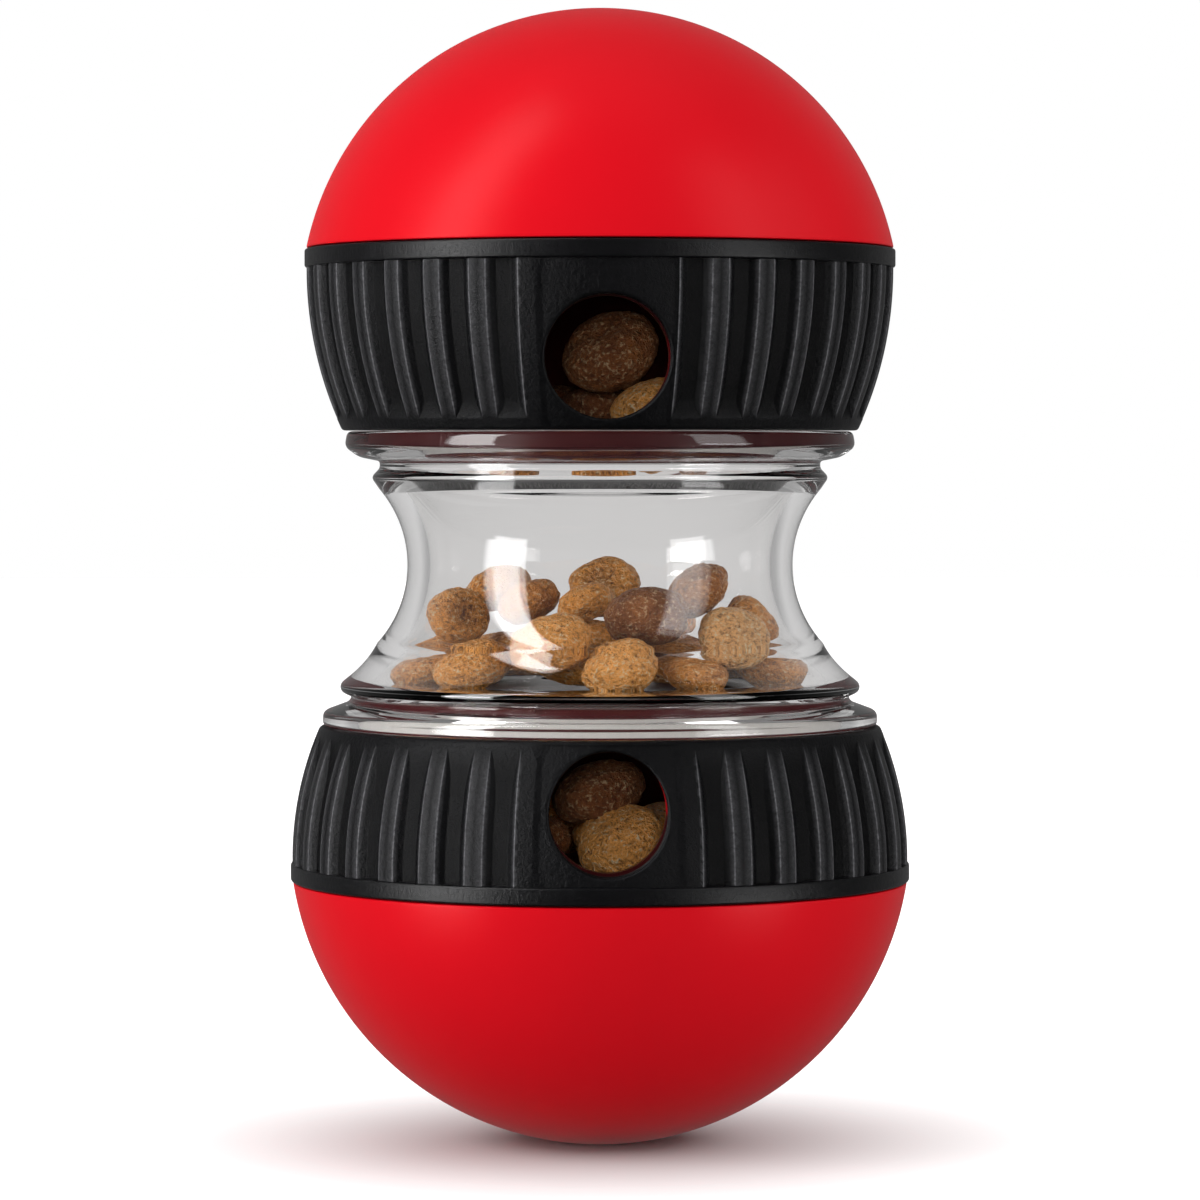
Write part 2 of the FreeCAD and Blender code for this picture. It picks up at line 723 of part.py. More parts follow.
def settle(pellets, floor, wall_radius):
    # drop the pellets one by one until each lies on the floor or on those before it
    placed = []
    for x, y, tilt, heading, size in pellets:
        one = SimpleNamespace(x=x, y=y, tilt=tilt, heading=heading, size=size)
        one.axis = kibble_axis(one)
        one.skin = kibble_skin(one)
        lean = math.sin(math.radians(tilt)) * kibble_radius
        rise = math.cos(math.radians(tilt)) * kibble_half_height
        height = floor + kibble_gap + size * math.hypot(lean, rise)
        while any(clashes(one, height, other) for other in placed):
            height += settle_step
        one.centre = (x, y, height)
        placed.append(one)
        for px, py, pz in one.skin:
            spare = wall_radius(height + pz) - math.hypot(x + px, y + py)
            if spare < wall_gap:
                print("pellet", len(placed), "is", round(wall_gap - spare, 2), "too near the wall")
                break
    return placed


def upper_cup_wall(height):
    shoulder = overall_height - upper.collar + shoulder_thickness
    return upper.spigot_bore if height < shoulder else upper.sleeve_bore


# Each pellet: x, y, tilt from flat, heading of the tilt, share of the full size
waist_pellets = [
    (1.9, -24.8, 27, 227, 0.92), (-18.2, -16.7, 24, 191, 0.94), (12.7, -21.3, 22, 312, 0.80),
    (24.5, -7.2, 2, 334, 0.86), (-25.1, -3, 12, 217, 0.89), (24.5, 4.1, 13, 6, 0.86),
    (-4, -9.4, 20, 53, 0.88), (10.4, -7, 4, 65, 0.92), (-11.7, -1, 12, 11, 0.87),
    (-1, 0.1, 13, 71, 0.86), (11.4, 5.4, 3, 147, 0.87), (-22.6, 8.6, 24, 136, 0.94),
    (19.1, 14, 2, 12, 0.86), (-14.8, 19.6, 2, 89, 0.91), (12.8, 23.3, 18, 55, 0.80),
    (-7.3, -21, 28, 215, 0.92), (18.1, -15, 50, 320, 0.78), (-20.2, -5.1, 50, 218, 0.78),
    (6.2, -14.4, 30, 83, 1.02), (22.3, -1.9, 50, -10, 0.78), (-10.3, -2.6, 36, 144, 0.80),
    (-2.2, -6.2, 32, 165, 0.74), (14.2, -0.7, 46, 180, 0.91), (0.9, 4.7, 48, 233, 0.94),
    (-14.9, 5.4, 26, 154, 0.90), (9.8, 11.1, 10, 10, 0.86)]
lower_cup_pellets = [
    (2.6, -26.2, 24, 205, 0.98), (-10.5, -24.2, 20, 230, 0.95), (14.5, -19.0, 18, 300, 0.85),
    (-20.0, -13.0, 10, 200, 0.95), (1.5, -12.5, 10, 90, 0.97), (20.5, -7.0, 12, 330, 0.95),
    (-9.5, -7.5, 14, 150, 0.92), (10.5, 2.5, 10, 40, 0.95), (-22.0, 3.0, 12, 170, 0.96),
    (-4.5, 6.0, 10, 100, 0.98), (-1.6, -20.8, 20, 215, 0.97), (10.0, -9.0, 18, 60, 0.94)]
upper_cup_pellets = [
    (4.8, -21.8, 24, 195, 0.95), (-9.4, -19.6, 14, 230, 0.96), (13.5, -13.5, 12, 320, 0.92),
    (-0.5, -9.8, 10, 80, 0.94), (-19.0, -7.0, 12, 190, 0.95), (19.5, -1.0, 14, 20, 0.95),
    (-8.0, 0.5, 12, 140, 0.95), (6.5, 1.5, 10, 40, 0.94), (0.2, -17.6, 38, 205, 0.98)]

waist_pile = settle(waist_pellets, lower.baffle_top, waist_inner)
lower_pile = settle(lower_cup_pellets, lower.floor_height, lambda height: lower.sleeve_bore)
upper_pile = settle(upper_cup_pellets, overall_height - upper.baffle_bottom,
                    upper_cup_wall)

nodes = {}
for end in (lower, upper):
    nodes[end.name + "_dome"] = [dome(end)]
    nodes[end.name + "_dome_seal"] = [dome_seal(end)]
    nodes[end.floor_name] = [cup_floor(end)]
    nodes[end.name + "_sleeve"] = [sleeve(end)]
    nodes[end.name + "_cup_screws"] = screws_on(end.screw_circle, end.flange_top,
                                                cup_screw_head_radius, cup_screw_length)
    nodes[end.name + "_baffle"] = [baffle(end)]
    nodes[end.name + "_joint_seal"] = [joint_seal(end)]
    nodes[end.name + "_ring_core"] = [ring_core(end)]
    nodes[end.name + "_grip_tread"] = [grip_tread(end)]
    for name in list(nodes):
        if name.startswith(end.name):
            nodes[name] = [place(solid, end) for solid in nodes[name]]
nodes["ballast_weight"] = [ballast()]
nodes["ballast_screws"] = screws_on(ballast_screw_circle, ballast_top, ballast_head_radius,
                                    ballast_screw_length)
nodes["clear_waist"] = [clear_waist()]
nodes["kibble_in_waist"] = [kibble_solid(one) for one in waist_pile]
nodes["kibble_in_lower_cup"] = [kibble_solid(one) for one in lower_pile]
nodes["kibble_in_upper_cup"] = [kibble_solid(one) for one in upper_pile]

os.makedirs("parts", exist_ok=True)
for name, solids in nodes.items():
    shape = solids[0] if len(solids) == 1 else Part.makeCompound(solids)
    shape.exportStep("parts/" + name + ".step")
    print(name, len(shape.Solids), "solid(s), valid", shape.isValid(), round(shape.Volume / 1000, 2), "cm3")

print("overall height", round(overall_height, 2))
print("screw joint: turn", joint_turn, "rise", round(thread_lead * joint_turn / 360.0, 3))
for end in (lower, upper):
    print(end.name, "ring turns", round(ring_travel(end), 2))
for pile, pellets in (("waist", waist_pile), ("lower", lower_pile), ("upper", upper_pile)):
    print(pile, [round(one.centre[2], 1) for one in pellets])
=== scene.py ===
import bpy
import bmesh
import math
import numpy as np
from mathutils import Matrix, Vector


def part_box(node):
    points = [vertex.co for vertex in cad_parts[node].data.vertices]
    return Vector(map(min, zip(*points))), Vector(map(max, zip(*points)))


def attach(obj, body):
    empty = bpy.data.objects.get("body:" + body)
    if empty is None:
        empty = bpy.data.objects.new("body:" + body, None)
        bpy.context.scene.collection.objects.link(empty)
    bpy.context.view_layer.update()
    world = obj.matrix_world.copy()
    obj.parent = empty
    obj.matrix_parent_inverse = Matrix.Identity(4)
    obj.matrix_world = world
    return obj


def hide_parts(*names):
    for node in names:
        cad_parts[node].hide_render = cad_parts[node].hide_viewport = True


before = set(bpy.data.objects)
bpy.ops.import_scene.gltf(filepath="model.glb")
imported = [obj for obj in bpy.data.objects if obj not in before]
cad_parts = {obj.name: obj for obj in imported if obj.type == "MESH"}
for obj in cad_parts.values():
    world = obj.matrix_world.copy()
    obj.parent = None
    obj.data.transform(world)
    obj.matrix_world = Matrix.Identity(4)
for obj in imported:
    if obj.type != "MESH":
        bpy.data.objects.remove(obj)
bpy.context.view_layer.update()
mm = 0.001
print("frame loaded")


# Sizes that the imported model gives

def nodePoints(node):
    # every vertex of a CAD node, as an array
    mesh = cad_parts[node].data
    points = np.empty(len(mesh.vertices) * 3, np.float32)
    mesh.vertices.foreach_get("co", points)
    return points.reshape(-1, 3).astype(float)


def fromAxis(points):
    # distance of each point from the upright axis
    return np.hypot(points[:, 0], points[:, 1])


def reach(node):
    # largest distance of a node from the axis
    return float(fromAxis(nodePoints(node)).max())


def bore(node):
    # smallest distance of a node from the axis
    return float(fromAxis(nodePoints(node)).min())


def reachAt(node, height, slack=0.05 * mm):
    # largest distance from the axis of a node's vertices at a height
    points = nodePoints(node)
    return float(fromAxis(points[np.abs(points[:, 2] - height) < slack]).max())


overall = float(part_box("upper_dome")[1].z)


class End:
    # one end, measured from its own pole, with its dictionary's values; the upper one is turned over

    def __init__(self, name, flipped, values):
        self.name = name
        self.flipped = flipped
        vars(self).update(values)
        self.seam = self.span("_dome")[1]
        self.seamRadius = reach(name + "_dome")
        self.bandBottom = self.span("_ring_core")[0]
        self.bandTop, self.collar = self.span("_grip_tread")
        self.bandRadius = reach(name + "_ring_core")
        self.rimRadius = reach(name + "_grip_tread")
        self.middle = (self.bandTop + self.collar) / 2
        collarEdge = reachAt(name + "_grip_tread", self.fromPole(self.collar))
        self.collarRadius = collarEdge + self.collarBevel
        self.coreBore = bore(name + "_ring_core")

    def fromPole(self, height):
        # height above the end's pole from height above the floor, and back
        return overall - height if self.flipped else height

    def span(self, part):
        # heights above the pole at which one of the end's nodes starts and stops
        return sorted(self.fromPole(corner.z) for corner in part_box(self.name + part))

    def place(self, points):
        # from the pole's frame into the model's frame
        if not self.flipped:
            return points
        turned = points * np.array([-1.0, 1.0, -1.0])
        turned[..., 2] += overall
        return turned


# heights are from the end's own pole, angles in degrees
lowerValues = {
    "body": "base", "ringBody": "lower_ring", "footRadius": 6.0 * mm, "collarBevel": 0.35 * mm,
    "midRadius": 43.85 * mm, "portHeight": 50.5 * mm, "portWidth": 16.4 * mm, "portTall": 17.1 * mm,
    "grooves": 35, "panelAngle": 30.5, "panelShift": 0.0,
    "tipLength": 8.0 * mm, "tipEnd": 1.2 * mm, "tipCurve": 2.2}
upperValues = {
    "body": "upper_end", "ringBody": "upper_ring", "footRadius": 0.0, "collarBevel": 0.35 * mm,
    "midRadius": 41.4 * mm, "portHeight": 51.0 * mm, "portWidth": 17.4 * mm, "portTall": 17.1 * mm,
    "grooves": 34, "panelAngle": 27.0, "panelShift": 1.8,
    "tipLength": 2.6 * mm, "tipEnd": 1.7 * mm, "tipCurve": 1.5}
lower = End("lower", False, lowerValues)
upper = End("upper", True, upperValues)


# Meshes from arrays

def meshObject(name, points, faces, material, body, replaced):
    # a smooth-shaded object at the origin with its place in its mesh
    mesh = bpy.data.meshes.new(name)
    mesh.vertices.add(len(points))
    mesh.vertices.foreach_set("co", np.ascontiguousarray(points, np.float32).ravel())
    mesh.loops.add(faces.size)
    mesh.loops.foreach_set("vertex_index", faces.astype(np.int32).ravel())
    mesh.polygons.add(len(faces))
    mesh.polygons.foreach_set("loop_start", np.arange(0, faces.size, faces.shape[1], dtype=np.int32))
    mesh.update(calc_edges=True)
    mesh.validate()
    thing = bpy.data.objects.new(name, mesh)
    bpy.context.scene.collection.objects.link(thing)
    mesh.materials.append(material)
    mesh.polygons.foreach_set("use_smooth", np.ones(len(mesh.polygons), bool))
    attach(thing, body)
    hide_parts(*replaced)
    return thing


def addValues(thing, name, values):
    # one number per vertex for a material to read
    attribute = thing.data.attributes.new(name, "FLOAT", "POINT")
    attribute.data.foreach_set("value", np.asarray(values, np.float32))


def weld(thing, crease=None, distance=0.002 * mm):
    # closes seams and poles, points every face outwards, and keeps edges over crease degrees crisp
    solid = bmesh.new()
    solid.from_mesh(thing.data)
    bmesh.ops.remove_doubles(solid, verts=solid.verts, dist=distance)
    bmesh.ops.dissolve_degenerate(solid, edges=solid.edges, dist=distance / 4)
    bmesh.ops.recalc_face_normals(solid, faces=solid.faces)
    solid.to_mesh(thing.data)
    solid.free()
    if crease:
        thing.data.set_sharp_from_angle(angle=math.radians(crease))


def gridFaces(rows, columns, closeRows=False, closeColumns=False):
    # quads between neighbours of a rows by columns grid of vertices
    r = np.arange(rows if closeRows else rows - 1)
    c = np.arange(columns if closeColumns else columns - 1)
    r, c = np.meshgrid(r, c, indexing="ij")
    this, above = r * columns, (r + 1) % rows * columns
    cNext = (c + 1) % columns
    return np.stack([this + c, this + cNext, above + cNext, above + c], -1).reshape(-1, 4)


def joinPatches(patches):
    # several (points, faces) patches as one
    points, faces, count = [], [], 0
    for patchPoints, patchFaces in patches:
        points.append(patchPoints.reshape(-1, 3))
        faces.append(patchFaces + count)
        count += points[-1].shape[0]
    return np.concatenate(points), np.concatenate(faces)


def arc(centre, radius, start, end, steps):
    # (radius, height) points on a circle about centre, angles in degrees from outwards
    angles = np.radians(np.linspace(start, end, steps))
    return np.stack([centre[0] + radius * np.cos(angles), centre[1] + radius * np.sin(angles)], -1)


def roundedCorner(before, corner, after, size, steps=5):
    # quadratic curve that cuts a corner off, size away from it on both sides
    before, corner, after = np.array(before), np.array(corner), np.array(after)
    start = corner + (before - corner) * min(1.0, size / np.linalg.norm(before - corner))
    end = corner + (after - corner) * min(1.0, size / np.linalg.norm(after - corner))
    t = np.linspace(0.0, 1.0, steps)[:, None]
    return start * (1 - t) ** 2 + corner * 2 * t * (1 - t) + end * t ** 2


def roundedLoop(corners, steps):
    # closed profile from (radius, height, rounding) corners, each rounding cut into steps points
    pieces = []
    for index, (radius, height, size) in enumerate(corners):
        before = corners[index - 1][:2]
        after = corners[(index + 1) % len(corners)][:2]
        if size > 0:
            pieces.append(roundedCorner(before, (radius, height), after, size, steps))
        else:
            pieces.append(np.array([[radius, height]]))
    return np.concatenate(pieces)


def revolve(profile, segments):
    # a closed (radius, height) profile carried round the axis
    angles = np.linspace(0.0, 2 * math.pi, segments, endpoint=False)
    x = np.outer(profile[:, 0], np.cos(angles))
    y = np.outer(profile[:, 0], np.sin(angles))
    z = np.repeat(profile[:, 1][:, None], segments, axis=1)
    points = np.stack([x, y, z], -1)
    return points, gridFaces(len(profile), segments, closeRows=True, closeColumns=True)


def valueNoise(points, cell, seed):
    # smooth noise from -1 to 1: eased blend of hashed values at the corners of a cube of size cell
    scaled = points / cell
    base = np.floor(scaled).astype(np.int64)
    part = scaled - base
    eased = part * part * (3 - 2 * part)
    total = np.zeros(points.shape[:-1])
    for corner in range(8):
        step = np.array([corner & 1, corner >> 1 & 1, corner >> 2 & 1])
        key = base + step
        mixed = seed * 2654435761
        for axis, prime in enumerate((73856093, 19349663, 83492791)):
            mixed = mixed ^ key[..., axis] * prime
        mixed = (mixed ^ mixed >> 13) * 1274126177 & 0x7FFFFFFF
        value = (mixed ^ mixed >> 16) % 65536 / 32767.5 - 1
        weight = np.prod(np.where(step == 1, eased, 1 - eased), axis=-1)
        total += value * weight
    return total


# Shader maths

class Socket:
    # a node's output that adds Math nodes when it is used in an expression

    def __init__(self, tree, link):
        self.tree = tree
        self.link = link

    def math(self, operation, *others):
        # one Math node on this value and the others
        node = self.tree.nodes.new("ShaderNodeMath")
        node.operation = operation
        for index, value in enumerate((self,) + others):
            connect(self.tree, value, node.inputs[index])
        return Socket(self.tree, node.outputs[0])

    def __add__(self, other):
        return self.math("ADD", other)

    __radd__ = __add__

    def __mul__(self, other):
        return self.math("MULTIPLY", other)

    __rmul__ = __mul__

    def __sub__(self, other):
        return self.math("SUBTRACT", other)

    def __rsub__(self, other):
        return (self * -1.0) + other

    def __truediv__(self, other):
        return self.math("DIVIDE", other)

    def __pow__(self, other):
        return self.math("POWER", other)

    def clamp(self, low=0.0, high=1.0):
        # no lower than low and no higher than high
        return self.math("MAXIMUM", low).math("MINIMUM", high)


def connect(tree, value, target):
    # links a socket's value, or writes a plain one
    if isinstance(value, Socket):
        tree.links.new(value.link, target)
    else:
        target.default_value = value


class NodeSet:
    # one node tree, whose nodes are added by one method

    def __init__(self, tree):
        self.tree = tree

    def node(self, kind, settings=None, inputs=None, out=0):
        # any node: its settings first, then the values or links of its sockets
        node = self.tree.nodes.new("ShaderNode" + kind)
        for key, value in (settings or {}).items():
            setattr(node, key, value)
        for key, value in (inputs or {}).items():
            connect(self.tree, value, node.inputs[key])
        return Socket(self.tree, node.outputs[out])

    def parts(self, vector):
        # the x, y and z of a vector as three numbers
        split = self.node("SeparateXYZ", {}, {0: vector}).link.node
        return [Socket(self.tree, socket) for socket in split.outputs]

    def rays(self, *kinds):
        # 1 for rays of each kind that is named, else 0
        path = self.node("LightPath").link.node
        return [Socket(self.tree, path.outputs["Is " + kind + " Ray"]) for kind in kinds]


class Finish(NodeSet):
    # a material and its main shader

    def __init__(self, name):
        self.material = bpy.data.materials.new(name)
        self.material.use_nodes = True
        super().__init__(self.material.node_tree)
        self.shader = self.tree.nodes["Principled BSDF"]
        self.output = self.tree.nodes["Material Output"]

    def objectPlace(self):
        # the Object coordinates
        return self.node("TexCoord", out=3)

    def stored(self, name):
        # a number that the mesh holds for each vertex
        return self.node("Attribute", {"attribute_name": name}, out=2)

    def noise(self, scale, detail=2.0, roughness=0.5, distortion=0.0):
        # scale in features per millimetre
        return self.node("TexNoise", {}, {
            "Vector": self.objectPlace(), "Scale": scale / mm, "Detail": detail,
            "Roughness": roughness, "Distortion": distortion})

    def mixColour(self, share, first, second):
        # first where share is 0, second where it is 1
        return self.node("Mix", {"data_type": "RGBA"}, {0: share, 6: first, 7: second}, out=2)

    def bump(self, height, distance, strength):
        # height runs from 0 to 1 over the distance
        return self.node("Bump", {}, {"Height": height, "Distance": distance, "Strength": strength})

    def set(self, **values):
        # sockets of the main shader, with blanks written as underscores
        for key, value in values.items():
            connect(self.tree, value, self.shader.inputs[key.replace("_", " ")])
        return self.material

    def blendInto(self, share, other):
        # the main shader where share is 0, the other where it is 1
        both = self.node("MixShader", {}, {0: share, 2: other})
        self.tree.links.new(self.shader.outputs[0], both.link.node.inputs[1])
        self.tree.links.new(both.link, self.output.inputs["Surface"])


def rgb(red, green, blue):
    # an opaque colour
    return (red, green, blue, 1.0)


# noise scales such as grain, pits and cloud are in features per millimetre
redPlastic = {
    "colour": rgb(0.74, 0.003, 0.011), "deepColour": rgb(0.68, 0.002, 0.009), "roughness": 0.36,
    "specular": 0.16, "grain": 1.5, "grainDepth": 0.007 * mm, "pits": 5.0, "cloud": 0.05}
# the inner red parts get a darkened copy of the red plastic: painted shade, with the real red painted back
# near the ports
redSleevePaintedShade = dict(redPlastic, colour=rgb(0.065, 0.006, 0.007), deepColour=rgb(0.04, 0.004, 0.005),
                 roughness=0.4, specular=0.4, grainDepth=0.004 * mm)
# the sleeve's real red, painted back over its painted shade near each port, with a painted pool of light on
# the right side of each port's wall
# millimetres from the axis and the floor
sleevePaintedLight = {
    "colour": rgb(0.76, 0.004, 0.013), "front": 24.0, "side": 5.0, "skinHalf": 10.5, "skinEdge": 5.0,
    "holeEdge": 9.6, "ports": [
        {"height": 50.5, "skin": 36.3, "litHeight": 53.2, "litReach": 3.4, "litShare": 1.0},
        {"height": 113.45, "skin": 33.1, "litHeight": 113.0, "litReach": 3.5, "litShare": 0.12}]}


def portPaintedLight(finish, values):
    # painted light on a darkened sleeve: 1 on its outer skin beyond its hole and in a painted pool of light
    # on the right side of the hole's wall, else 0
    x, y, z = finish.parts(finish.objectPlace())
    x, y, z = x / mm, y / mm, z / mm
    away = (x * x + y * y) ** 0.5
    litSide = (y * -1.0 - values["front"]).clamp() * (x - values["side"]).clamp()
    glow = 0.0
    for port in values["ports"]:
        rise = z - port["height"]
        level = (values["skinHalf"] - (rise * rise) ** 0.5).clamp()
        beyond = ((x * x + rise * rise) ** 0.5 - values["holeEdge"]).clamp()
        skin = ((away - port["skin"]) * values["skinEdge"]).clamp()
        litRise = z - port["litHeight"]
        lit = (port["litReach"] - (litRise * litRise) ** 0.5).clamp() * litSide * port["litShare"]
        glow = level * beyond * skin + lit + glow
    return glow


def redFinish(name, values, lit=None):
    # satin moulded plastic: fine leathery grain under soft colour variation
    finish = Finish(name)
    grain = finish.noise(values["grain"], 3.0, 0.6)
    fine = finish.noise(values["pits"], 1.0)
    cloud = finish.noise(values["cloud"], 2.0)
    colour = finish.mixColour(cloud, values["colour"], values["deepColour"])
    # painted light near the ports over the darkened colour
    if lit:
        colour = finish.mixColour(portPaintedLight(finish, lit).clamp(), colour, lit["colour"])
    bump = finish.bump(grain * 0.7 + fine * 0.3, values["grainDepth"], 0.5)
    rough = values["roughness"] + (fine - 0.5) * 0.12 + (cloud - 0.5) * 0.08
    return finish.set(Base_Color=colour, Roughness=rough.clamp(0.05), Normal=bump, IOR=1.5,
                      Specular_IOR_Level=values["specular"])


blackRubber = {
    "colour": rgb(0.0018, 0.0018, 0.0021), "paleColour": rgb(0.0052, 0.0052, 0.0060),
    "edgeHighlightColour": rgb(0.17, 0.17, 0.18), "grooveShadeColour": rgb(0.0012, 0.0012, 0.0014), "roughness": 0.35,
    "grain": 2.0, "grainDepth": 0.30 * mm, "cloud": 0.12, "specular": 0.12}


def blackFinish(name, values):
    # satin black with a wavy leather grain and paler rubbed spots; on the tread, a painted highlight along
    # the groove edges and painted shade in the groove floors
    finish = Finish(name)
    grain = finish.noise(values["grain"], 4.0, 0.65, distortion=0.6)
    fine = finish.noise(values["grain"] * 4, 1.0)
    cloud = finish.noise(values["cloud"], 3.0)
    wearAndPaintedLight = (cloud * 1.8 - 0.5).clamp() * 0.6 + (grain - 0.4).clamp() * 0.7
    colour = finish.mixColour(wearAndPaintedLight.clamp(), values["colour"], values["paleColour"])
    # the tread's stored edge values: painted shade in the groove floors below 0, a painted highlight on the
    # groove edges above 0
    edge = finish.stored("edge")
    floor = (edge * -1.0).clamp()
    colour = finish.mixColour(floor, colour, values["grooveShadeColour"])
    colour = finish.mixColour(edge.clamp() * (grain * 1.8 - 0.3).clamp(), colour, values["edgeHighlightColour"])
    bump = finish.bump(grain * 0.8 + fine * 0.2, values["grainDepth"], 0.6)
    rough = values["roughness"] + (grain - 0.5) * 0.25 + (fine - 0.5) * 0.1 + floor * 0.2
    return finish.set(Base_Color=colour, Roughness=rough.clamp(0.1), Normal=bump, IOR=1.5,
                      Specular_IOR_Level=values["specular"])


clearPlastic = {
    "colour": rgb(0.98, 0.972, 0.968), "lampColour": rgb(1.0, 0.995, 0.99), "ior": 1.49, "roughness": 0.0,
    "specular": 0.85}


def clearFinish(values):
    # polished clear plastic that lets the lamps' light through to what it holds
    finish = Finish("clearPlastic")
    finish.set(Base_Color=values["colour"], Roughness=values["roughness"], IOR=values["ior"],
               Transmission_Weight=1.0, Specular_IOR_Level=values["specular"])
    shadow, diffuse = finish.rays("Shadow", "Diffuse")
    finish.blendInto((shadow + diffuse).clamp(),
                     finish.node("BsdfTransparent", {}, {"Color": values["lampColour"]}))
    return finish.material


kibbleLook = {
    "orange": rgb(0.98, 0.41, 0.085), "brown": rgb(0.54, 0.20, 0.06), "dark": rgb(0.14, 0.050, 0.026),
    "crumb": rgb(0.98, 0.74, 0.45), "patch": 0.28, "speck": 1.6, "grit": 3.6, "crustDepth": 2.4 * mm,
    "roughness": 0.32, "ior": 1.46, "specular": 0.45}


def kibbleFinish(values):
    # baked crust: tone per pellet, painted shade in the pits, dents and dimples, pale crumbs that also
    # serve as painted glints, and a thin greasy shine
    finish = Finish("bakedKibble")
    tone = finish.stored("tone")
    pit = finish.stored("pit")
    patch = finish.noise(values["patch"], 4.0, 0.6)
    speck = finish.noise(values["speck"], 3.0, 0.7)
    grit = finish.noise(values["grit"], 2.0, 0.7)
    base = finish.mixColour((tone * 1.3 + (patch - 0.5) * 1.1).clamp(), values["orange"], values["brown"])
    base = finish.mixColour((tone * -1.0).clamp(), base, values["crumb"])
    base = finish.mixColour((tone * 1.6 - 0.75 + (patch - 0.5) * 0.9).clamp(), base, values["dark"])
    # painted shade in the pits, dents and dimples, and random dark flecks
    base = finish.mixColour((pit * 0.75 + (0.48 - speck).clamp() * 4.0).clamp(), base, values["dark"])
    # pale crumbs on the specks, which also serve as painted glints
    base = finish.mixColour(((speck - 0.54) * 9.0).clamp() * (1 - tone * 0.6), base, values["crumb"])
    bump = finish.bump(patch * 0.6 + speck * 0.6 + grit * 0.2, values["crustDepth"], 1.0)
    rough = values["roughness"] + (grit - 0.5) * 0.5 + (0.5 - speck) * 0.3
    return finish.set(Base_Color=base, Roughness=rough.clamp(0.2), Normal=bump, IOR=values["ior"],
                      Specular_IOR_Level=values["specular"])


def plainFinish(name, colour, roughness, metallic=0.0, grain=0.8, depth=0.03 * mm):
    # inner pieces: a fine cast or moulded grain
    finish = Finish(name)
    grainHeight = finish.noise(grain, 3.0, 0.6)
    deep = tuple(channel * 0.8 for channel in colour[:3]) + (1.0,)
    shade = finish.mixColour(grainHeight, colour, deep)
    rough = roughness + (grainHeight - 0.5) * 0.2
    return finish.set(Base_Color=shade, Roughness=rough.clamp(0.05), Metallic=metallic,
                      Normal=finish.bump(grainHeight, depth, 0.5))


redShell = redFinish("redShell", redPlastic)
redInnerPaintedShade = redFinish("redInnerPaintedShade", redSleevePaintedShade, sleevePaintedLight)
blackTread = blackFinish("blackTread", blackRubber)
blackCore = blackFinish("blackCore", dict(blackRubber, grain=1.8, grainDepth=0.13 * mm, specular=0.24))
clear = clearFinish(clearPlastic)
kibble = kibbleFinish(kibbleLook)
siliconeFinish = plainFinish("paleSilicone", rgb(0.70, 0.69, 0.66), 0.45)
steelFinish = plainFinish("plainSteel", rgb(0.55, 0.55, 0.56), 0.3, 1.0, 2.0, 0.01 * mm)
ironFinish = plainFinish("castIron", rgb(0.09, 0.09, 0.095), 0.6, 0.6, 0.5, 0.1 * mm)
print("materials made")


# Red domes

domeLook = {"segments": 288, "steps": 90, "wall": 2.0 * mm, "seamRound": 0.35 * mm, "crease": 40}


def buildDome(end, look):
    # profile: sphere from the foot or pole up to the seam, rounded lip, concentric inner sphere
    foot = end.footRadius
    centre = (end.seamRadius ** 2 + end.seam ** 2 - foot ** 2) / (2 * end.seam)
    radius = math.hypot(end.seamRadius, centre - end.seam)
    inner = radius - look["wall"]
    footAngle = -math.degrees(math.acos(foot / radius))
    seamAngle = -math.degrees(math.asin((centre - end.seam) / radius))
    lip = math.degrees(look["seamRound"] / radius)
    outer = arc((0, centre), radius, footAngle, seamAngle - lip, look["steps"])
    innerSeam = (math.sqrt(inner ** 2 - (centre - end.seam) ** 2), end.seam)
    corner = roundedCorner(outer[-1], (end.seamRadius, end.seam), innerSeam, look["seamRound"])
    innerAngle = -math.degrees(math.asin((centre - end.seam) / inner))
    inside = arc((0, centre), inner, innerAngle, -90.0, look["steps"] // 2)
    pole = np.zeros((1 if foot > 0 else 0, 2))
    profile = np.concatenate([pole, outer, corner, inside])
    points, faces = revolve(profile, look["segments"])
    thing = meshObject(end.name + "DomeShell", end.place(points.reshape(-1, 3)), faces, redShell,
                       end.body, (end.name + "_dome",))
    weld(thing, look["crease"])


for end in (lower, upper):
    buildDome(end, domeLook)
print("domes made")


# Grip rings with their ports

# per point of a groove's side, from the land's edge down to the floor: a painted highlight on the rounded
# top edge above 0 and painted shade towards the floor below 0, reaching full strength a little way in from
# the groove's tip
treadLook = {
    "thickness": 2.6 * mm, "grooveDepth": 0.95 * mm, "grooveFloor": 2.3 * mm, "wallRun": 1.2,
    "edge": 0.15 * mm, "wearAndPaintedLight": (0.3, 1.0, 1.0, 0.3, -0.3, -0.8, -1.0, -1.0), "paintedLightRise": 1.5,
    "lip": 0.5 * mm, "flare": 0.2 * mm, "lipSteps": 5, "tunnelSteps": 6,
    "rows": 60, "crowding": 0.10, "panelColumns": 30, "patchSteps": 26, "patchEase": 0.8, "innerSteps": 6,
    "collarRound": 0.45 * mm, "padDrop": 0.22 * mm, "padAngle": 12.4, "padSlope": 1.2, "crease": 50}
# the plain ring under the tread, with its rim band
coreLook = dict(treadLook, lip=0.25 * mm, flare=0.7 * mm, padDrop=0.0, bandRound=0.4 * mm, bandSteps=6,
                sector=math.radians(20.0), columns=300)


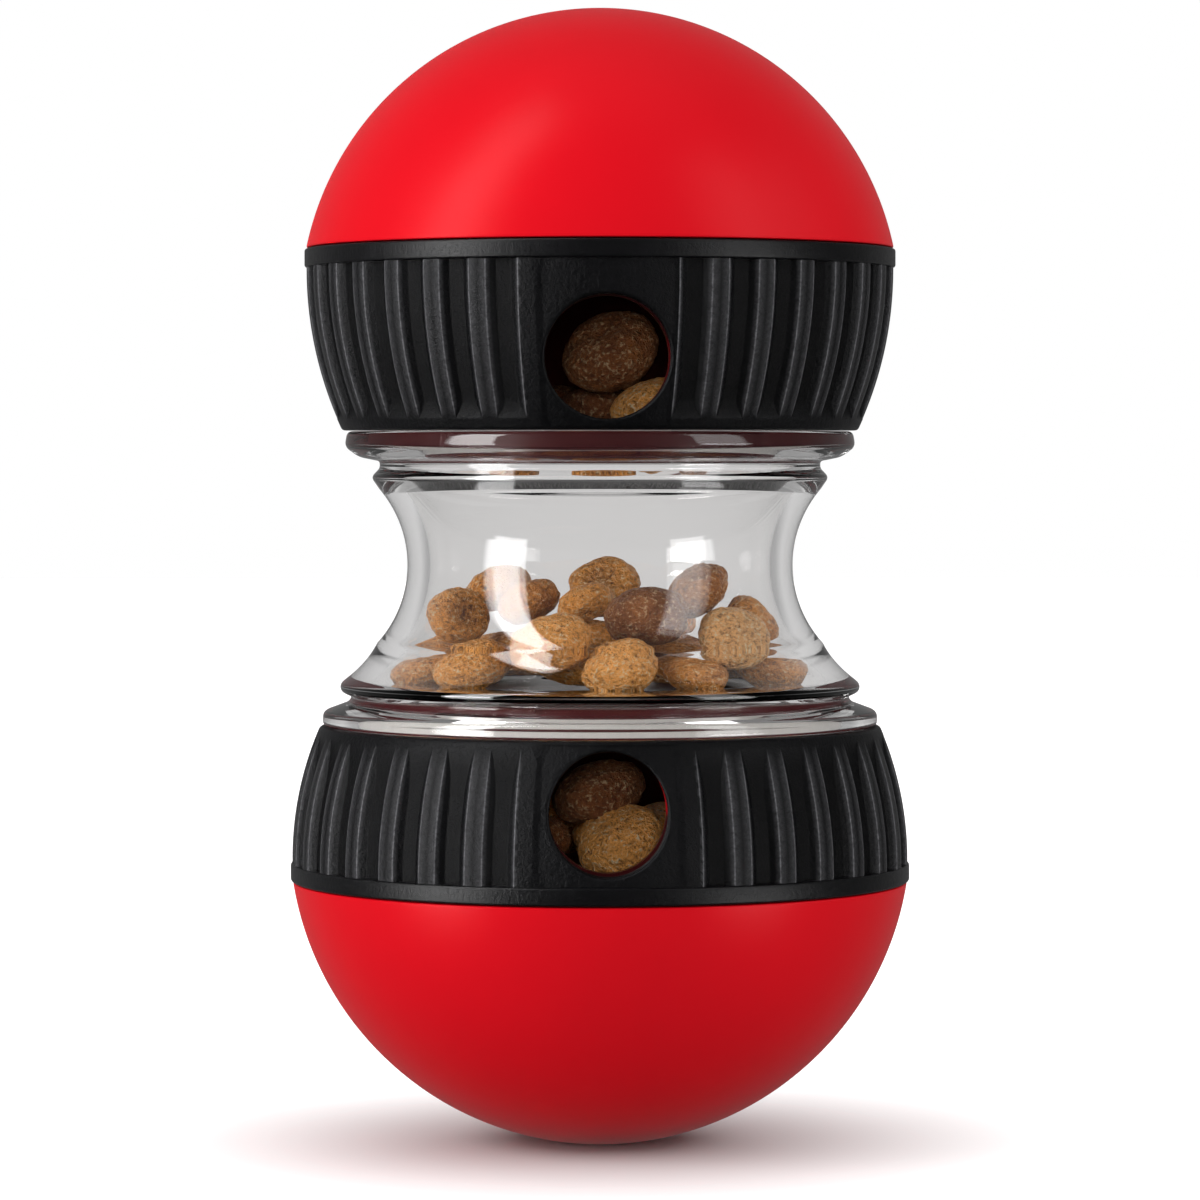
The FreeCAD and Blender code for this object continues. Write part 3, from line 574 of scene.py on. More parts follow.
def circleThrough(a, b, c):
    # centre and radius of the circle through three (radius, height) points
    ax, ay = a
    bx, by = b
    cx, cy = c
    d = 2 * (ax * (by - cy) + bx * (cy - ay) + cx * (ay - by))
    a2, b2, c2 = ax * ax + ay * ay, bx * bx + by * by, cx * cx + cy * cy
    ux = (a2 * (by - cy) + b2 * (cy - ay) + c2 * (ay - by)) / d
    uy = (a2 * (cx - bx) + b2 * (ax - cx) + c2 * (bx - ax)) / d
    return (ux, uy), math.hypot(ax - ux, ay - uy)


class TreadCurve:
    # radius of the bulged tread at a height: a circle through rim, middle and collar

    def __init__(self, end, inset=0.0):
        self.centre, self.radius = circleThrough(
            (end.rimRadius - inset, end.bandTop), (end.midRadius - inset, end.middle),
            (end.collarRadius - inset, end.collar))

    def __call__(self, height):
        rise = height - self.centre[1]
        return self.centre[0] + np.sqrt(self.radius ** 2 - rise ** 2)


def grooveSection(look):
    # offsets across one groove, depths and painted light of its points: sloped walls with rounded edges, a
    # painted highlight on the top edges and painted shade down to the floor
    half = look["grooveFloor"] / 2
    depth = look["grooveDepth"]
    top = half + depth * look["wallRun"]
    edge = look["edge"]
    t = np.linspace(0.0, 1.0, 4)[:, None]
    before, at, after = (1 - t) ** 2, 2 * t * (1 - t), t ** 2
    slope = np.array([-look["wallRun"], 1.0]) / math.hypot(look["wallRun"], 1.0)
    upperEdge = before * [top + edge, 0] + at * [top, 0] + after * (np.array([top, 0]) + slope * edge)
    lowerEdge = (before * (np.array([half, depth]) - slope * edge) + at * [half, depth]
                 + after * [half - edge, depth])
    side = np.concatenate([upperEdge, lowerEdge])
    across = np.concatenate([-side[:, 0], [0.0], side[::-1, 0]])
    down = np.concatenate([side[:, 1], [depth], side[::-1, 1]])
    edgeLightAndGrooveShade = np.concatenate([look["wearAndPaintedLight"], [-1.0], look["wearAndPaintedLight"][::-1]])
    return across, down, edgeLightAndGrooveShade


def spacedHeights(end, look):
    # rows from rim to collar, closer together near the ends of the grooves
    t = np.linspace(0.0, 1.0, look["rows"])
    eased = t - look["crowding"] * np.sin(2 * math.pi * t)
    top = end.collar - look["collarRound"]
    return end.bandTop + (top - end.bandTop) * eased


def grooveDepths(end, heights):
    # share of the full depth at each height: full along the ring, curving out to nothing at the tip
    tip = end.collar - end.tipEnd
    run = np.clip((tip - heights) / end.tipLength, 0.0, 1.0)
    return 1 - (1 - run) ** end.tipCurve


def groovePitch(end):
    # angle from one groove to the next, on what the panel leaves of the ring
    return (2 * math.pi - math.radians(end.panelAngle)) / end.grooves


def ribbedColumns(end, look, heights, curve):
    # angles, drops and painted light of the ribbed part: one row per height, grooves and lands in turn
    pitch = groovePitch(end)
    start = -math.pi / 2 + math.radians(end.panelAngle / 2 + end.panelShift)
    across, down, edgeLightAndGrooveShade = grooveSection(look)
    depth = grooveDepths(end, heights)
    middle = curve(end.middle)
    # the walls keep their slope and their top edges while the floor rises, so it widens up to them
    run = look["grooveDepth"] * look["wallRun"]
    floorShare = np.minimum(1.0, down / look["grooveDepth"])
    lift = (1 - depth)[:, None] * run * floorShare[None, :] * np.sign(across)[None, :]
    offsets = (across[None, :] + lift) / middle
    depths = np.outer(depth, down)
    # the painted highlight and shade fade out towards the groove's tip
    wearAndPaintedLight = np.minimum(1.0, depth * look["paintedLightRise"])[:, None] * edgeLightAndGrooveShade[None, :]
    land = np.zeros((len(heights), 1))
    columns = []
    for groove in range(end.grooves):
        centre = start + (groove + 0.5) * pitch
        if groove:
            columns.append((land + (centre - pitch / 2), land, land))
        columns.append((centre + offsets, depths, wearAndPaintedLight))
    return [np.concatenate(parts, 1) for parts in zip(*columns)]


def panelSides(end, look, ribs):
    # angles from the port to the panel's two sides: the next groove's edge, or a plain sector
    if not ribs:
        return -look["sector"], look["sector"]
    edge = grooveSection(look)[0][0] / TreadCurve(end)(end.middle)
    half = (math.radians(end.panelAngle) + groovePitch(end)) / 2 + edge
    shift = math.radians(end.panelShift)
    return shift - half, shift + half


def ringPoints(angles, radii, heights):
    # (x, y, z) from angles round the axis, distances from it and heights
    heights = np.broadcast_to(heights, angles.shape)
    return np.stack([radii * np.cos(angles), radii * np.sin(angles), heights], -1)


def portEdge(end, turn, grow):
    # (x, z) at the angle turn on the port's ellipse, which is larger by grow on every side
    return ((end.portWidth / 2 + grow) * np.cos(turn),
            end.portHeight + (end.portTall / 2 + grow) * np.sin(turn))


def padShare(look, across):
    # 1 on the shallow flat that the port sits in, 0 beyond its slope, by the sine of the angle to it
    angle = np.degrees(np.abs(np.arcsin(across)))
    return np.clip((look["padAngle"] + look["padSlope"] - angle) / look["padSlope"], 0.0, 1.0)


def portPatch(end, look, heights, sides, radiusOf, steps, grow, sunk):
    # from the panel's border to the port's edge, blended in the plane that the port faces
    columns = look["panelColumns"]
    low = np.stack([np.linspace(sides[0], sides[1], columns), np.full(columns, heights[0])], -1)
    right = np.stack([np.full(len(heights), sides[1]), heights], -1)
    high = low[::-1] * [1, 0] + [0, heights[-1]]
    left = right[::-1] * [0, 1] + [sides[0], 0]
    border = np.concatenate([low[:-1], right[:-1], high[:-1], left[:-1]])
    x = radiusOf(border[:, 1]) * np.sin(border[:, 0])
    z = border[:, 1]
    turn = np.arctan2(z - end.portHeight, x)
    holeX, holeZ = portEdge(end, turn, grow)
    share = np.linspace(0.0, 1.0, steps)[:, None] ** look["patchEase"]
    gridX = x * (1 - share) + holeX * share
    gridZ = z * (1 - share) + holeZ * share
    radii = radiusOf(gridZ)
    gridY = -np.sqrt((radii - sunk * padShare(look, gridX / radii)) ** 2 - gridX ** 2)
    return np.stack([gridX, gridY, gridZ], -1), turn


def portTunnel(end, look, turn, outerOf, innerOf):
    # rounded lip, then an elliptical wall that widens a little on its way to the inner face
    rows = []
    for share in np.linspace(0.0, 1.0, look["lipSteps"]):
        alpha = share * math.pi / 2
        x, z = portEdge(end, turn, look["lip"] * (1 - math.sin(alpha)))
        y = -np.sqrt((outerOf(z) - look["padDrop"]) ** 2 - x ** 2) + look["lip"] * (1 - math.cos(alpha))
        rows.append(np.stack([x, y, z], -1))
    front = rows[-1]
    x, z = portEdge(end, turn, look["flare"])
    back = np.stack([x, -np.sqrt(innerOf(z) ** 2 - x ** 2), z], -1)
    for share in np.linspace(0.0, 1.0, look["tunnelSteps"])[1:]:
        rows.append(front * (1 - share) + back * share)
    return np.stack(rows)


def portedRing(end, look, outerOf, innerOf, overCollar, underRim, ribs):
    # a ring with one port: ribbed or plain outside, plain inside, and a patched panel with the port;
    # its section runs inwards over the collar and outwards under the rim
    heights = spacedHeights(end, look)
    sides = panelSides(end, look, ribs)
    *underRim, (lastRadius, lastHeight) = underRim
    innerLow = underRim[0][1]
    span = (heights - heights[0]) / (heights[-1] - heights[0])
    innerHeights = innerLow + (end.collar - innerLow) * span
    if ribs:
        angles, drops, edges = ribbedColumns(end, look, heights, outerOf)
    else:
        plain = np.linspace(sides[1], 2 * math.pi + sides[0], look["columns"]) - math.pi / 2
        angles = np.tile(plain, (len(heights), 1))
        drops = np.zeros_like(angles)
        edges = drops
    outer = ringPoints(angles, outerOf(heights)[:, None] - drops, heights[:, None])
    flat = angles[-1]
    inner = ringPoints(np.tile(flat, (len(heights), 1)), innerOf(innerHeights)[:, None],
                       innerHeights[:, None])
    panel = np.linspace(sides[0], sides[1], look["panelColumns"]) - math.pi / 2
    openGrids = [outer, inner[::-1]]
    for lowAngles, highAngles, lowDrops in ((angles[0], flat, drops[0]), (panel, panel, 0.0)):
        openGrids.append(np.stack([ringPoints(highAngles, r, h) for r, h in overCollar]))
        under = [ringPoints(highAngles, r, h) for r, h in underRim]
        openGrids.append(np.stack(under + [ringPoints(lowAngles, lastRadius - lowDrops, lastHeight)]))
    outerPatch, turn = portPatch(end, look, heights, sides, outerOf, look["patchSteps"], look["lip"],
                                 look["padDrop"])
    innerPatch = portPatch(end, look, innerHeights, sides, innerOf, look["innerSteps"], look["flare"],
                           0.0)[0]
    tunnel = portTunnel(end, look, turn, outerOf, innerOf)
    tunnel[-1] = innerPatch[-1]
    patches = [(grid, gridFaces(*grid.shape[:2])) for grid in openGrids]
    patches += [(grid, gridFaces(*grid.shape[:2], closeColumns=True))
                for grid in (outerPatch, innerPatch[::-1], tunnel)]
    points, faces = joinPatches(patches)
    # painted highlight and painted shade values, on the ribbed outer grid only
    edgeLightAndGrooveShade = np.zeros(len(points))
    edgeLightAndGrooveShade[:edges.size] = edges.ravel()
    return points, faces, edgeLightAndGrooveShade


def buildTread(end, look):
    # the ribbed cover: a bulged outer skin, one of the same bulge inside it, and a rounded collar
    outerOf = TreadCurve(end)
    innerOf = TreadCurve(end, look["thickness"])
    top = end.collar - look["collarRound"]
    side, collarIn = (outerOf(top), top), (innerOf(end.collar), end.collar)
    corner = roundedCorner(side, (outerOf(end.collar), end.collar), collarIn, look["collarRound"])
    corner[0] = side
    overCollar = np.concatenate([corner, [collarIn]])
    underRim = [(innerOf(end.bandTop), end.bandTop), (outerOf(end.bandTop), end.bandTop)]
    points, faces, edgeLightAndGrooveShade = portedRing(end, look, outerOf, innerOf, overCollar, underRim, True)
    thing = meshObject(end.name + "GripTread", end.place(points), faces, blackTread,
                       end.ringBody, (end.name + "_grip_tread",))
    # painted highlight on the groove edges and painted shade in their floors, for the material to read
    addValues(thing, "edge", edgeLightAndGrooveShade)
    weld(thing, look["crease"])


def buildCore(end, look):
    # the rigid ring under the tread, with the plain rim band that stands proud beside the dome
    outerOf = TreadCurve(end, look["thickness"])

    def innerOf(height):
        # the same bore at every height
        return end.coreBore + np.zeros_like(height)

    top = end.collar - look["collarRound"]
    overCollar = [(outerOf(top), top), (outerOf(end.collar), end.collar), (end.coreBore, end.collar)]
    inLow, outLow = (end.coreBore, end.bandBottom), (end.bandRadius, end.bandBottom)
    inHigh, outHigh = (end.coreBore, end.bandTop), (end.bandRadius, end.bandTop)
    low = roundedCorner(inLow, outLow, outHigh, look["bandRound"], look["bandSteps"])
    high = roundedCorner(outLow, outHigh, inHigh, look["bandRound"], look["bandSteps"])
    underRim = np.concatenate([[inLow], low, high, [(outerOf(end.bandTop), end.bandTop)]])
    points, faces = portedRing(end, look, outerOf, innerOf, overCollar, underRim, False)[:2]
    thing = meshObject(end.name + "RingCore", end.place(points), faces, blackCore,
                       end.ringBody, (end.name + "_ring_core",))
    weld(thing, look["crease"])


for end in (lower, upper):
    buildTread(end, treadLook)
    buildCore(end, coreLook)
print("grip rings made")


# Clear waist

# corners as radius, height above the lower end or (high) the upper end, and rounding, in millimetres;
# the outer faces press 0.04 mm into their seats
waistLook = {
    "segments": 320, "crease": 35, "wall": 3.2, "outerSteps": 7, "innerSteps": 4, "arcSteps": 60,
    "foot": (34.6, 9.9), "throat": (28.0, 23.2), "highShoulder": (32.1, -8.3),
    "outside": [
        (35.2, -0.04, 0.15), (40.3, -0.04, 0.7), (40.3, 2.0, 0.8), (36.5, 3.4, 0.7), (36.1, 4.2, 0.4),
        (37.8, 5.0, 0.7), (37.7, 6.1, 0.5), (33.85, 9.0, 0)],
    "flareStart": (37.2, 6.5), "flareMiddle": (33.85, 9.0), "flareTop": 11.9, "flareRound": 20.0,
    "flareSteps": 14, "innerFlareMiddle": (31.55, 7.0), "belly": (34.4, 4.9),
    "highOutside": [
        (32.1, -8.3, 0), (33.25, -6.6, 0.7), (32.0, -5.3, 0.4), (32.0, -4.3, 0.4), (35.0, -3.7, 0.8),
        (37.1, -2.2, 0.9), (36.7, 0.04, 0.8), (31.7, 0.04, 0.15)],
    "highMouth": [(31.7, -1.0, 0.1), (29.65, -1.0, 0.1), (29.65, -4.15, 0.15), (28.8, -4.15, 0.3)],
    "seat": [(34.4, 4.9, 0), (33.15, 4.2, 0.3), (33.15, 1.0, 0.15), (35.2, 1.0, 0.1), (35.2, 0, 0)]}


def buildWaist(look):
    # closed profile: flange, neck and bead at each end, one long arc between, and an arc inside it
    low, high = (corner.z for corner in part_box("clear_waist"))

    def place(name, radius, height, *rounding):
        # a corner in metres from one in millimetres
        base = high if name.startswith("high") else low
        return (radius * mm, base + height * mm, *(size * mm for size in rounding))

    def corner(name):
        # one corner of the dictionary
        return place(name, *look[name])

    def corners(name):
        # a list of them
        return [place(name, *values) for values in look[name]]

    throat, shoulder, bottom = corner("throat"), corner("highShoulder"), corner("belly")
    centre, radius = circleThrough(corner("foot"), throat, shoulder)
    inner = radius + look["wall"] * mm

    def onArc(size, first, last, steps):
        # the waist's side: points at even heights on a circle about the same centre
        z = np.linspace(first, last, steps)
        return np.stack([centre[0] - np.sqrt(size ** 2 - (z - centre[1]) ** 2), z], -1)

    flareHeight = low + look["flareTop"] * mm
    flareTop, innerTop = (onArc(size, flareHeight, throat[1], 2)[0] for size in (radius, inner))
    curve = (look["flareRound"] * mm, look["flareSteps"])
    mouth = corners("highMouth")
    narrow = mouth[-1][0]
    mouthEnd = (narrow, centre[1] + math.sqrt(inner ** 2 - (centre[0] - narrow) ** 2))
    profile = np.concatenate([
        roundedLoop(corners("outside"), look["outerSteps"])[:-1],
        roundedCorner(corner("flareStart"), corner("flareMiddle"), flareTop, *curve)[:-1],
        onArc(radius, flareTop[1], shoulder[1], look["arcSteps"]),
        roundedLoop(corners("highOutside"), look["outerSteps"])[1:],
        roundedLoop([*mouth, (*mouthEnd, 0)], look["innerSteps"])[:-1],
        onArc(inner, mouthEnd[1], innerTop[1], look["arcSteps"]),
        roundedCorner(innerTop, corner("innerFlareMiddle"), bottom, *curve)[1:],
        roundedLoop(corners("seat"), look["innerSteps"])[1:-1]])
    points, faces = revolve(profile, look["segments"])
    thing = meshObject("clearWaist", points.reshape(-1, 3), faces, clear, "waist",
                       ("clear_waist",))
    weld(thing, look["crease"])


buildWaist(waistLook)
print("waist made")


# Kibble

# a depth or share with the size of its noise cells for lumps, dents, pits and the dimple's wobble
pelletLook = {
    "around": 84, "along": 44, "radius": 6.5 * mm, "halfHeight": 4.5 * mm, "shrink": 0.985,
    "rimPower": 0.92, "facePower": 0.96, "fullness": 1.04, "noiseReach": 6.0 * mm,
    "lump": 0.9 * mm, "lumpCells": (4.2 * mm, 2.6 * mm),
    "dent": 0.5 * mm, "dentCells": (1.4 * mm, 0.8 * mm),
    "pitDepth": 0.35 * mm, "pitCell": 0.75 * mm, "pitFrom": 0.35, "pitGain": 1.5,
    "dimpleDepth": 1.9 * mm, "dimpleReach": 0.5, "dimpleFall": 1.2, "wobble": 0.35, "wobbleCell": 2.2 * mm,
    "tones": (0.05, 0.6), "dimples": (0.0, 0.0, 0.35), "squash": (0.93, 1.0), "weld": 0.001 * mm}


def pelletPlaces(node, radius, slack=0.01 * mm):
    # centre, axis and size of each loose solid of a node: points closer than slack are one, triangles
    # that share a point take the lowest number among them, and area weights their middles
    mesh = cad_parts[node].data
    points = nodePoints(node)
    corners = np.empty(len(mesh.loops), np.int32)
    mesh.loops.foreach_get("vertex_index", corners)
    corners = corners.reshape(-1, 3)
    keys = np.round(points / slack).astype(np.int64)
    unique, same = np.unique(keys, axis=0, return_inverse=True)
    same = same.ravel()
    label = np.arange(len(unique))
    triangles = same[corners]
    while True:
        least = label[triangles].min(1)
        before = label.copy()
        for column in range(3):
            np.minimum.at(label, triangles[:, column], least)
        label = label[label]
        if (label == before).all():
            break
    places = []
    owner = label[triangles[:, 0]]
    order = [owner[index] for index in sorted(np.unique(owner, return_index=True)[1])]
    for group in order:
        chosen = corners[owner == group]
        a, b, c = (points[chosen[:, column]] for column in range(3))
        area = np.linalg.norm(np.cross(b - a, c - a), axis=1) / 2
        centres = (a + b + c) / 3
        middle = (centres * area[:, None]).sum(0) / area.sum()
        offset = centres - middle
        spread = (offset * area[:, None]).T @ offset
        values, vectors = np.linalg.eigh(spread)
        axis = vectors[:, 0] * (1 if vectors[2, 0] >= 0 else -1)
        corner = points[np.unique(chosen)] - middle
        flat = corner - np.outer(corner @ axis, axis)
        places.append((middle, axis, np.linalg.norm(flat, axis=1).max() / radius))
    return places


def pelletSurface(look, size, seed, dimple, squash):
    # rounded disc: superellipse section, lumps, dents and pits along the normal, and a dimpled face
    v = np.linspace(0.0, math.pi, look["along"])
    u = np.linspace(0.0, 2 * math.pi, look["around"], endpoint=False)
    v, u = np.meshgrid(v, u, indexing="ij")
    radius = look["radius"] * size * look["shrink"]
    half = look["halfHeight"] * size * look["shrink"]
    out = np.abs(np.sin(v)) ** look["rimPower"]
    up = np.sign(np.cos(v)) * np.abs(np.cos(v)) ** look["facePower"]
    points = np.stack([radius * out * np.cos(u) * squash, radius * out * np.sin(u), half * up], -1)
    unit = np.stack([np.sin(v) * np.cos(u), np.sin(v) * np.sin(u), np.cos(v)], -1)

    def noise(cell, step):
        # the pellet's own noise, one kind for each step
        return valueNoise(unit * look["noiseReach"], cell, seed + step)

    lump = noise(look["lumpCells"][0], 0) * 0.6 + noise(look["lumpCells"][1], 1) * 0.4
    dent = noise(look["dentCells"][0], 2) * 0.6 + noise(look["dentCells"][1], 3) * 0.4
    pits = np.clip(noise(look["pitCell"], 4) - look["pitFrom"], 0.0, 1.0) * look["pitGain"]
    bowl = np.exp(-(np.sin(v) / look["dimpleReach"]) ** 2.0 * look["dimpleFall"]) * (np.cos(v) > 0)
    wobble = 1 + look["wobble"] * noise(look["wobbleCell"], 5)
    drop = dimple * look["dimpleDepth"] * bowl * wobble
    inward = (look["lump"] * (lump * 0.5 - 0.5) + look["dent"] * (dent * 0.5 - 0.5)
              - look["pitDepth"] * pits)
    points = points + unit * inward[..., None] * size
    points[..., 2] -= drop * size
    # share of painted shade: in the pits, the dents and the dimple
    pit = np.clip(pits * 0.9 + np.clip(-dent, 0, 1) * 0.35 + bowl * dimple * 0.6, 0.0, 1.0)
    return points, pit


def turnTo(axis, spin):
    # columns of a frame whose third axis is the pellet's, turned about it by the spin
    helper = np.array([0.0, 0.0, 1.0]) if abs(axis[2]) < 0.9 else np.array([1.0, 0.0, 0.0])
    side = np.cross(helper, axis)
    side /= np.linalg.norm(side)
    front = np.cross(axis, side)
    c, s = math.cos(spin), math.sin(spin)
    return np.stack([side * c + front * s, front * c - side * s, axis], -1)


def buildKibble(node, name, body, look, pile):
    # every pellet of one node as a closed skin in the place that the node gives it
    draw = np.random.default_rng(pile["seed"])
    patches, tones, pits = [], [], []
    for index, (middle, axis, size) in enumerate(pelletPlaces(node, look["radius"])):
        number = index + 1
        tone = pile["tones"].get(number, draw.uniform(*look["tones"]))
        dimple = pile["dimples"].get(number, draw.choice(look["dimples"]))
        spin = draw.uniform(0, 2 * math.pi)
        squash = draw.uniform(*look["squash"])
        if number in pile["facing"]:
            axis = np.array(pile["facing"][number]) / np.linalg.norm(pile["facing"][number])
        wide, thick = pile["shapes"].get(number, (look["fullness"], look["fullness"]))
        shift = np.array(pile["shifts"].get(number, (0, 0, 0))) * mm
        points, pit = pelletSurface(look, size, pile["seed"] + index * 17, dimple, squash)
        points = points * [wide, wide, thick] @ turnTo(axis, spin).T + middle + shift
        patches.append((points, gridFaces(look["along"], look["around"], closeColumns=True)))
        tones.append(np.full(pit.size, tone))
        pits.append(pit.ravel())
    points, faces = joinPatches(patches)
    thing = meshObject(name, points, faces, kibble, body, (node,))
    addValues(thing, "tone", np.concatenate(tones))
    addValues(thing, "pit", np.concatenate(pits))
    weld(thing, distance=look["weld"])


# by the pellet's number in its node: tone from pale -1 over orange 0 to dark 1, depth of the dimple,
# share of its width and thickness, shift in mm, and the way that its face points
waistPile = {
    "seed": 11,
    "tones": {1: -0.08, 2: 0.0, 3: 0.35, 4: 0.20, 5: 0.15, 16: -0.05, 17: -0.35, 18: 0.1, 19: 0.85, 20: 0.2,
              21: 0.5, 22: 0.15, 23: 0.6, 24: 0.08, 25: 0.3},
    "dimples": {18: 1.0, 24: 1.0, 16: 0.0, 19: 0.0, 1: 0.0, 17: 0.15, 23: 0.0, 5: 0.5},
    "shapes": {1: (1.1, 1.15), 16: (1.1, 1.16), 17: (1.14, 1.05), 18: (1.1, 1.0), 19: (1.03, 1.2),
               24: (1.06, 1.0)},
    "shifts": {1: (0, 0, 0.3)},
    "facing": {17: (0.28, -0.85, 0.40), 18: (0.62, -0.72, 0.25), 24: (-0.15, -0.78, 0.55)}}
# in both cups, pellet 1 beside the port gets a paler tone than 0: painted light against the port's shade
lowerPile = {
    "seed": 211,
    "tones": {1: -0.08, 2: 0.85, 11: 0.92, 12: 1.0},
    "dimples": {1: 0.0, 2: 0.0, 11: 0.0},
    "shapes": {1: (1.14, 1.1), 11: (1.16, 1.15), 12: (0.6, 0.6)},
    "shifts": {1: (-0.4, 0, 0), 11: (0.8, 0, -1.0), 12: (2.5, 5.0, -3.5)},
    "facing": {1: (-0.42, -0.55, 0.72)}}
upperPile = {
    "seed": 411,
    "tones": {1: -0.08, 2: 1.0, 4: 1.0, 7: 1.0, 9: 0.85},
    "dimples": {1: 0.0, 9: 0.4},
    "shapes": {1: (1.08, 1.05), 2: (0.8, 0.8), 9: (1.24, 1.28)},
    "shifts": {1: (1.6, 0, 0), 2: (-1.0, 0, -0.5), 9: (0.8, 0, 0.2)},
    "facing": {9: (-0.35, -0.62, 0.70)}}
buildKibble("kibble_in_waist", "waistKibble", "base", pelletLook, waistPile)
buildKibble("kibble_in_lower_cup", "lowerCupKibble", "base", pelletLook, lowerPile)
buildKibble("kibble_in_upper_cup", "upperCupKibble", "upper_end", pelletLook, upperPile)
print("kibble made")


# Carried-over CAD nodes

# the finish of each node that is shown as it is
nodeFinish = (
    (redInnerPaintedShade, ("lower_floor", "upper_ceiling", "lower_sleeve", "upper_sleeve")),
    (blackCore, ("lower_baffle", "upper_baffle")),
    (siliconeFinish, ("lower_dome_seal", "upper_dome_seal", "lower_joint_seal", "upper_joint_seal")),
    (steelFinish, ("lower_cup_screws", "upper_cup_screws", "ballast_screws")),
    (ironFinish, ("ballast_weight",)))
for material, names in nodeFinish:
    for name in names:
        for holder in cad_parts[name].material_slots:
            holder.material = material
print("nodes finished")


# Camera, floor and light

# metres; a card's edges are shares of sideways (near, far) and of height (low, high)
studio = {
    "camera": (-20.2 * mm, -723.7 * mm, 101.5 * mm), "target": (0.0, 0.0, 78.7 * mm), "lens": 149.3,
    "sensor": 36.0,
    "floorSize": 3.0, "seenFloor": rgb(0.46, 0.425, 0.425), "bounceFloor": rgb(0.42, 0.41, 0.41),
    # between these distances from the axis the floor's painted shade round the foot gives way to its white
    # emission
    "clearFrom": 0.012, "clearTo": 0.078,
    "ambient": 0.36, "frontGloss": 0.02, "backGloss": 0.20, "glossFade": 1.2, "glossLift": 0.1,
    "frontThrough": 0.21, "backThrough": 0.505, "backdropReach": 0.66, "backdropFade": 7.0,
    "backdropRise": 10.0, "cardThrough": 0.03, "cardEdge": 0.02, "cardRise": 50.0,
    "cards": [
        {"side": -1, "near": 0.76, "far": 0.97, "low": -0.42, "high": 0.97, "strength": 9.5},
        {"side": 1, "near": 0.70, "far": 0.95, "low": -0.42, "high": -0.12, "strength": 6.5},
        {"side": 1, "near": 0.66, "far": 0.93, "low": -0.12, "high": 0.80, "strength": 2.6}],
    # name, place, aim, width, height and watts
    "lamps": [
        ("keyBox", (-0.92, -0.34, 0.34), (0, 0, 0.08), 0.5, 1.1, 9.6),
        ("fillBox", (0.93, -0.25, 0.42), (0, 0, 0.08), 0.7, 0.9, 4.4),
        ("topBox", (0.0, 0.05, 1.25), (0, 0, 0), 1.0, 1.0, 1.8),
        ("frontBox", (-0.12, -1.1, 0.22), (0, 0, 0.08), 0.3, 0.3, 3.3),
        ("backBox", (0.25, 1.15, 0.45), (0, 0, 0.08), 0.8, 0.6, 4.0)]}


def aimed(name, data, place, aim):
    # a camera or lamp at a place, turned to look at another
    thing = bpy.data.objects.new(name, data)
    bpy.context.scene.collection.objects.link(thing)
    thing.location = place
    thing.rotation_euler = (Vector(aim) - Vector(place)).to_track_quat("-Z", "Y").to_euler()
    return thing


def buildCamera(values):
    # a long lens from a little left of the front and above the middle
    data = bpy.data.cameras.new("studioCamera")
    data.lens = values["lens"]
    data.sensor_width = values["sensor"]
    data.sensor_fit = "HORIZONTAL"
    bpy.context.scene.camera = aimed("studioCamera", data, values["camera"], values["target"])


def softbox(name, place, aim, width, height, power):
    # a rectangular lamp that only the world's cards show in reflections
    data = bpy.data.lights.new(name, "AREA")
    data.shape = "RECTANGLE"
    data.size = width
    data.size_y = height
    data.energy = power
    lamp = aimed(name, data, place, aim)
    lamp.visible_glossy = False
    lamp.visible_transmission = False


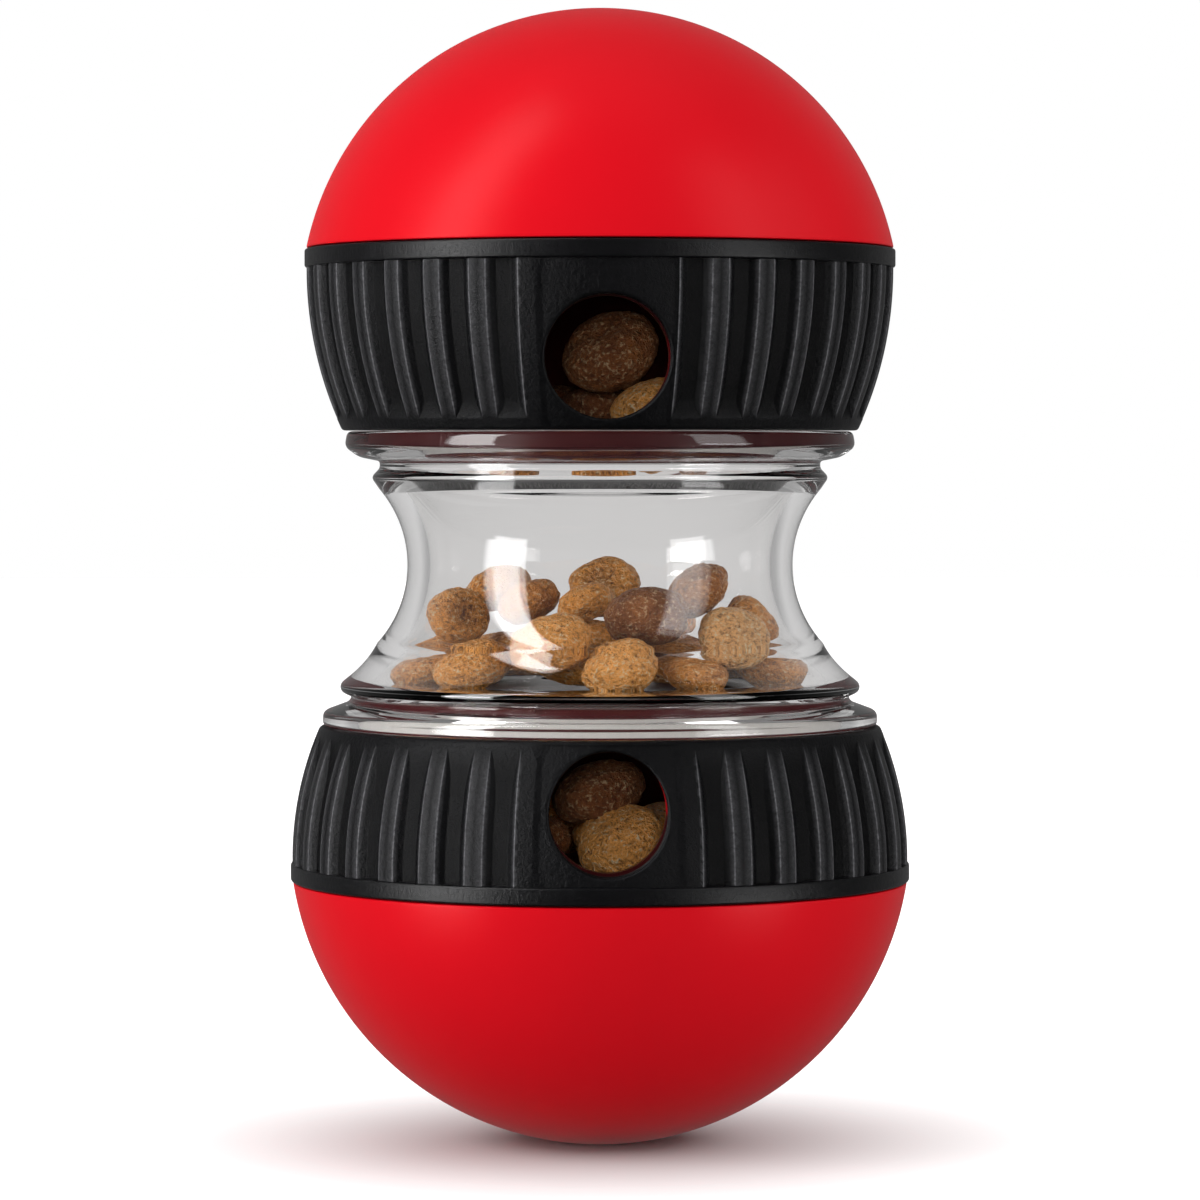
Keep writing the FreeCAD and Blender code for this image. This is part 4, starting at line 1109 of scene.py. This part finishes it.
def buildFloor(values):
    # pale plane that keeps the object's shadow and runs out into plain white further off; its white
    # emission fades out towards the object, so the grey floor paints a shade round the foot on top of the
    # lamps' own shadow
    size = values["floorSize"]
    finish = Finish("paleFloor")
    x, y, z = finish.parts(finish.objectPlace())
    away = (x * x + y * y) ** 0.5
    # share of the white emission: none near the foot, where the grey floor shows as painted shade, full
    # further off
    share = ((away - values["clearFrom"]) / (values["clearTo"] - values["clearFrom"])).clamp()
    camera, transmission, glossy = finish.rays("Camera", "Transmission", "Glossy")
    through = transmission * (1 - camera)
    glow = share * (camera + through * values["backThrough"])
    colour = finish.mixColour(glow, rgb(0, 0, 0), rgb(1, 1, 1))
    base = finish.mixColour((camera + through).clamp(), values["bounceFloor"], values["seenFloor"])
    finish.set(Base_Color=base, Roughness=0.8, Specular_IOR_Level=0.1, Emission_Color=colour,
               Emission_Strength=1.0)
    # reflections pass through to the world, which holds what lies below the floor's edge
    finish.blendInto(glossy, finish.node("BsdfTransparent"))
    corners = [(-size, -size, 0), (size, -size, 0), (size, size, 0), (-size, size, 0)]
    mesh = bpy.data.meshes.new("studioFloor")
    mesh.from_pydata(corners, [], [(0, 1, 2, 3)])
    mesh.materials.append(finish.material)
    floor = bpy.data.objects.new("studioFloor", mesh)
    bpy.context.scene.collection.objects.link(floor)


def cardLight(x, y, z, card, values):
    # a soft-edged rectangle of light in front of the object, by its share of sideways and its height
    level = (x * x + y * y) ** 0.5
    aside = x * card["side"] / level
    inside = 1.0
    for value, edge, sign in ((aside, card["near"], 1), (aside, card["far"], -1),
                              (z, card["low"], 1), (z, card["high"], -1)):
        inside = ((value - edge) * (sign / values["cardEdge"])).clamp() * inside
    return inside * (y * -values["cardRise"]).clamp() * card["strength"]


def buildWorld(values):
    # white to the eye, grey through the plastic, even for matt light, and dimmer in front for gloss
    world = bpy.data.worlds.new("studioWorld")
    bpy.context.scene.world = world
    world.use_nodes = True
    nodes = NodeSet(world.node_tree)
    camera, glossy, through = nodes.rays("Camera", "Glossy", "Transmission")
    x, y, z = nodes.parts(nodes.node("TexCoord"))
    behind = (y * values["glossFade"] + values["glossLift"]).clamp()
    sheen = values["frontGloss"] + behind * (values["backGloss"] - values["frontGloss"])
    aside = (x * x) ** 0.5
    backdrop = ((values["backdropReach"] - aside) * values["backdropFade"]).clamp()
    backdrop = backdrop * (y * values["backdropRise"]).clamp()
    inside = values["frontThrough"] + backdrop * (values["backThrough"] - values["frontThrough"])
    for card in values["cards"]:
        light = cardLight(x, y, z, card, values)
        sheen = sheen + light
        inside = inside + light * values["cardThrough"]
    matt = (1 - glossy) * (1 - through) * (1 - camera)
    strength = camera + through * (1 - camera) * inside + glossy * sheen + matt * values["ambient"]
    background = world.node_tree.nodes["Background"]
    background.inputs["Color"].default_value = rgb(1, 1, 1)
    connect(nodes.tree, strength, background.inputs["Strength"])
    world.cycles.sampling_method = "NONE"


buildCamera(studio)
buildFloor(studio)
buildWorld(studio)
for lamp in studio["lamps"]:
    softbox(*lamp)
bpy.context.scene.view_settings.view_transform = "Standard"
print("studio made")
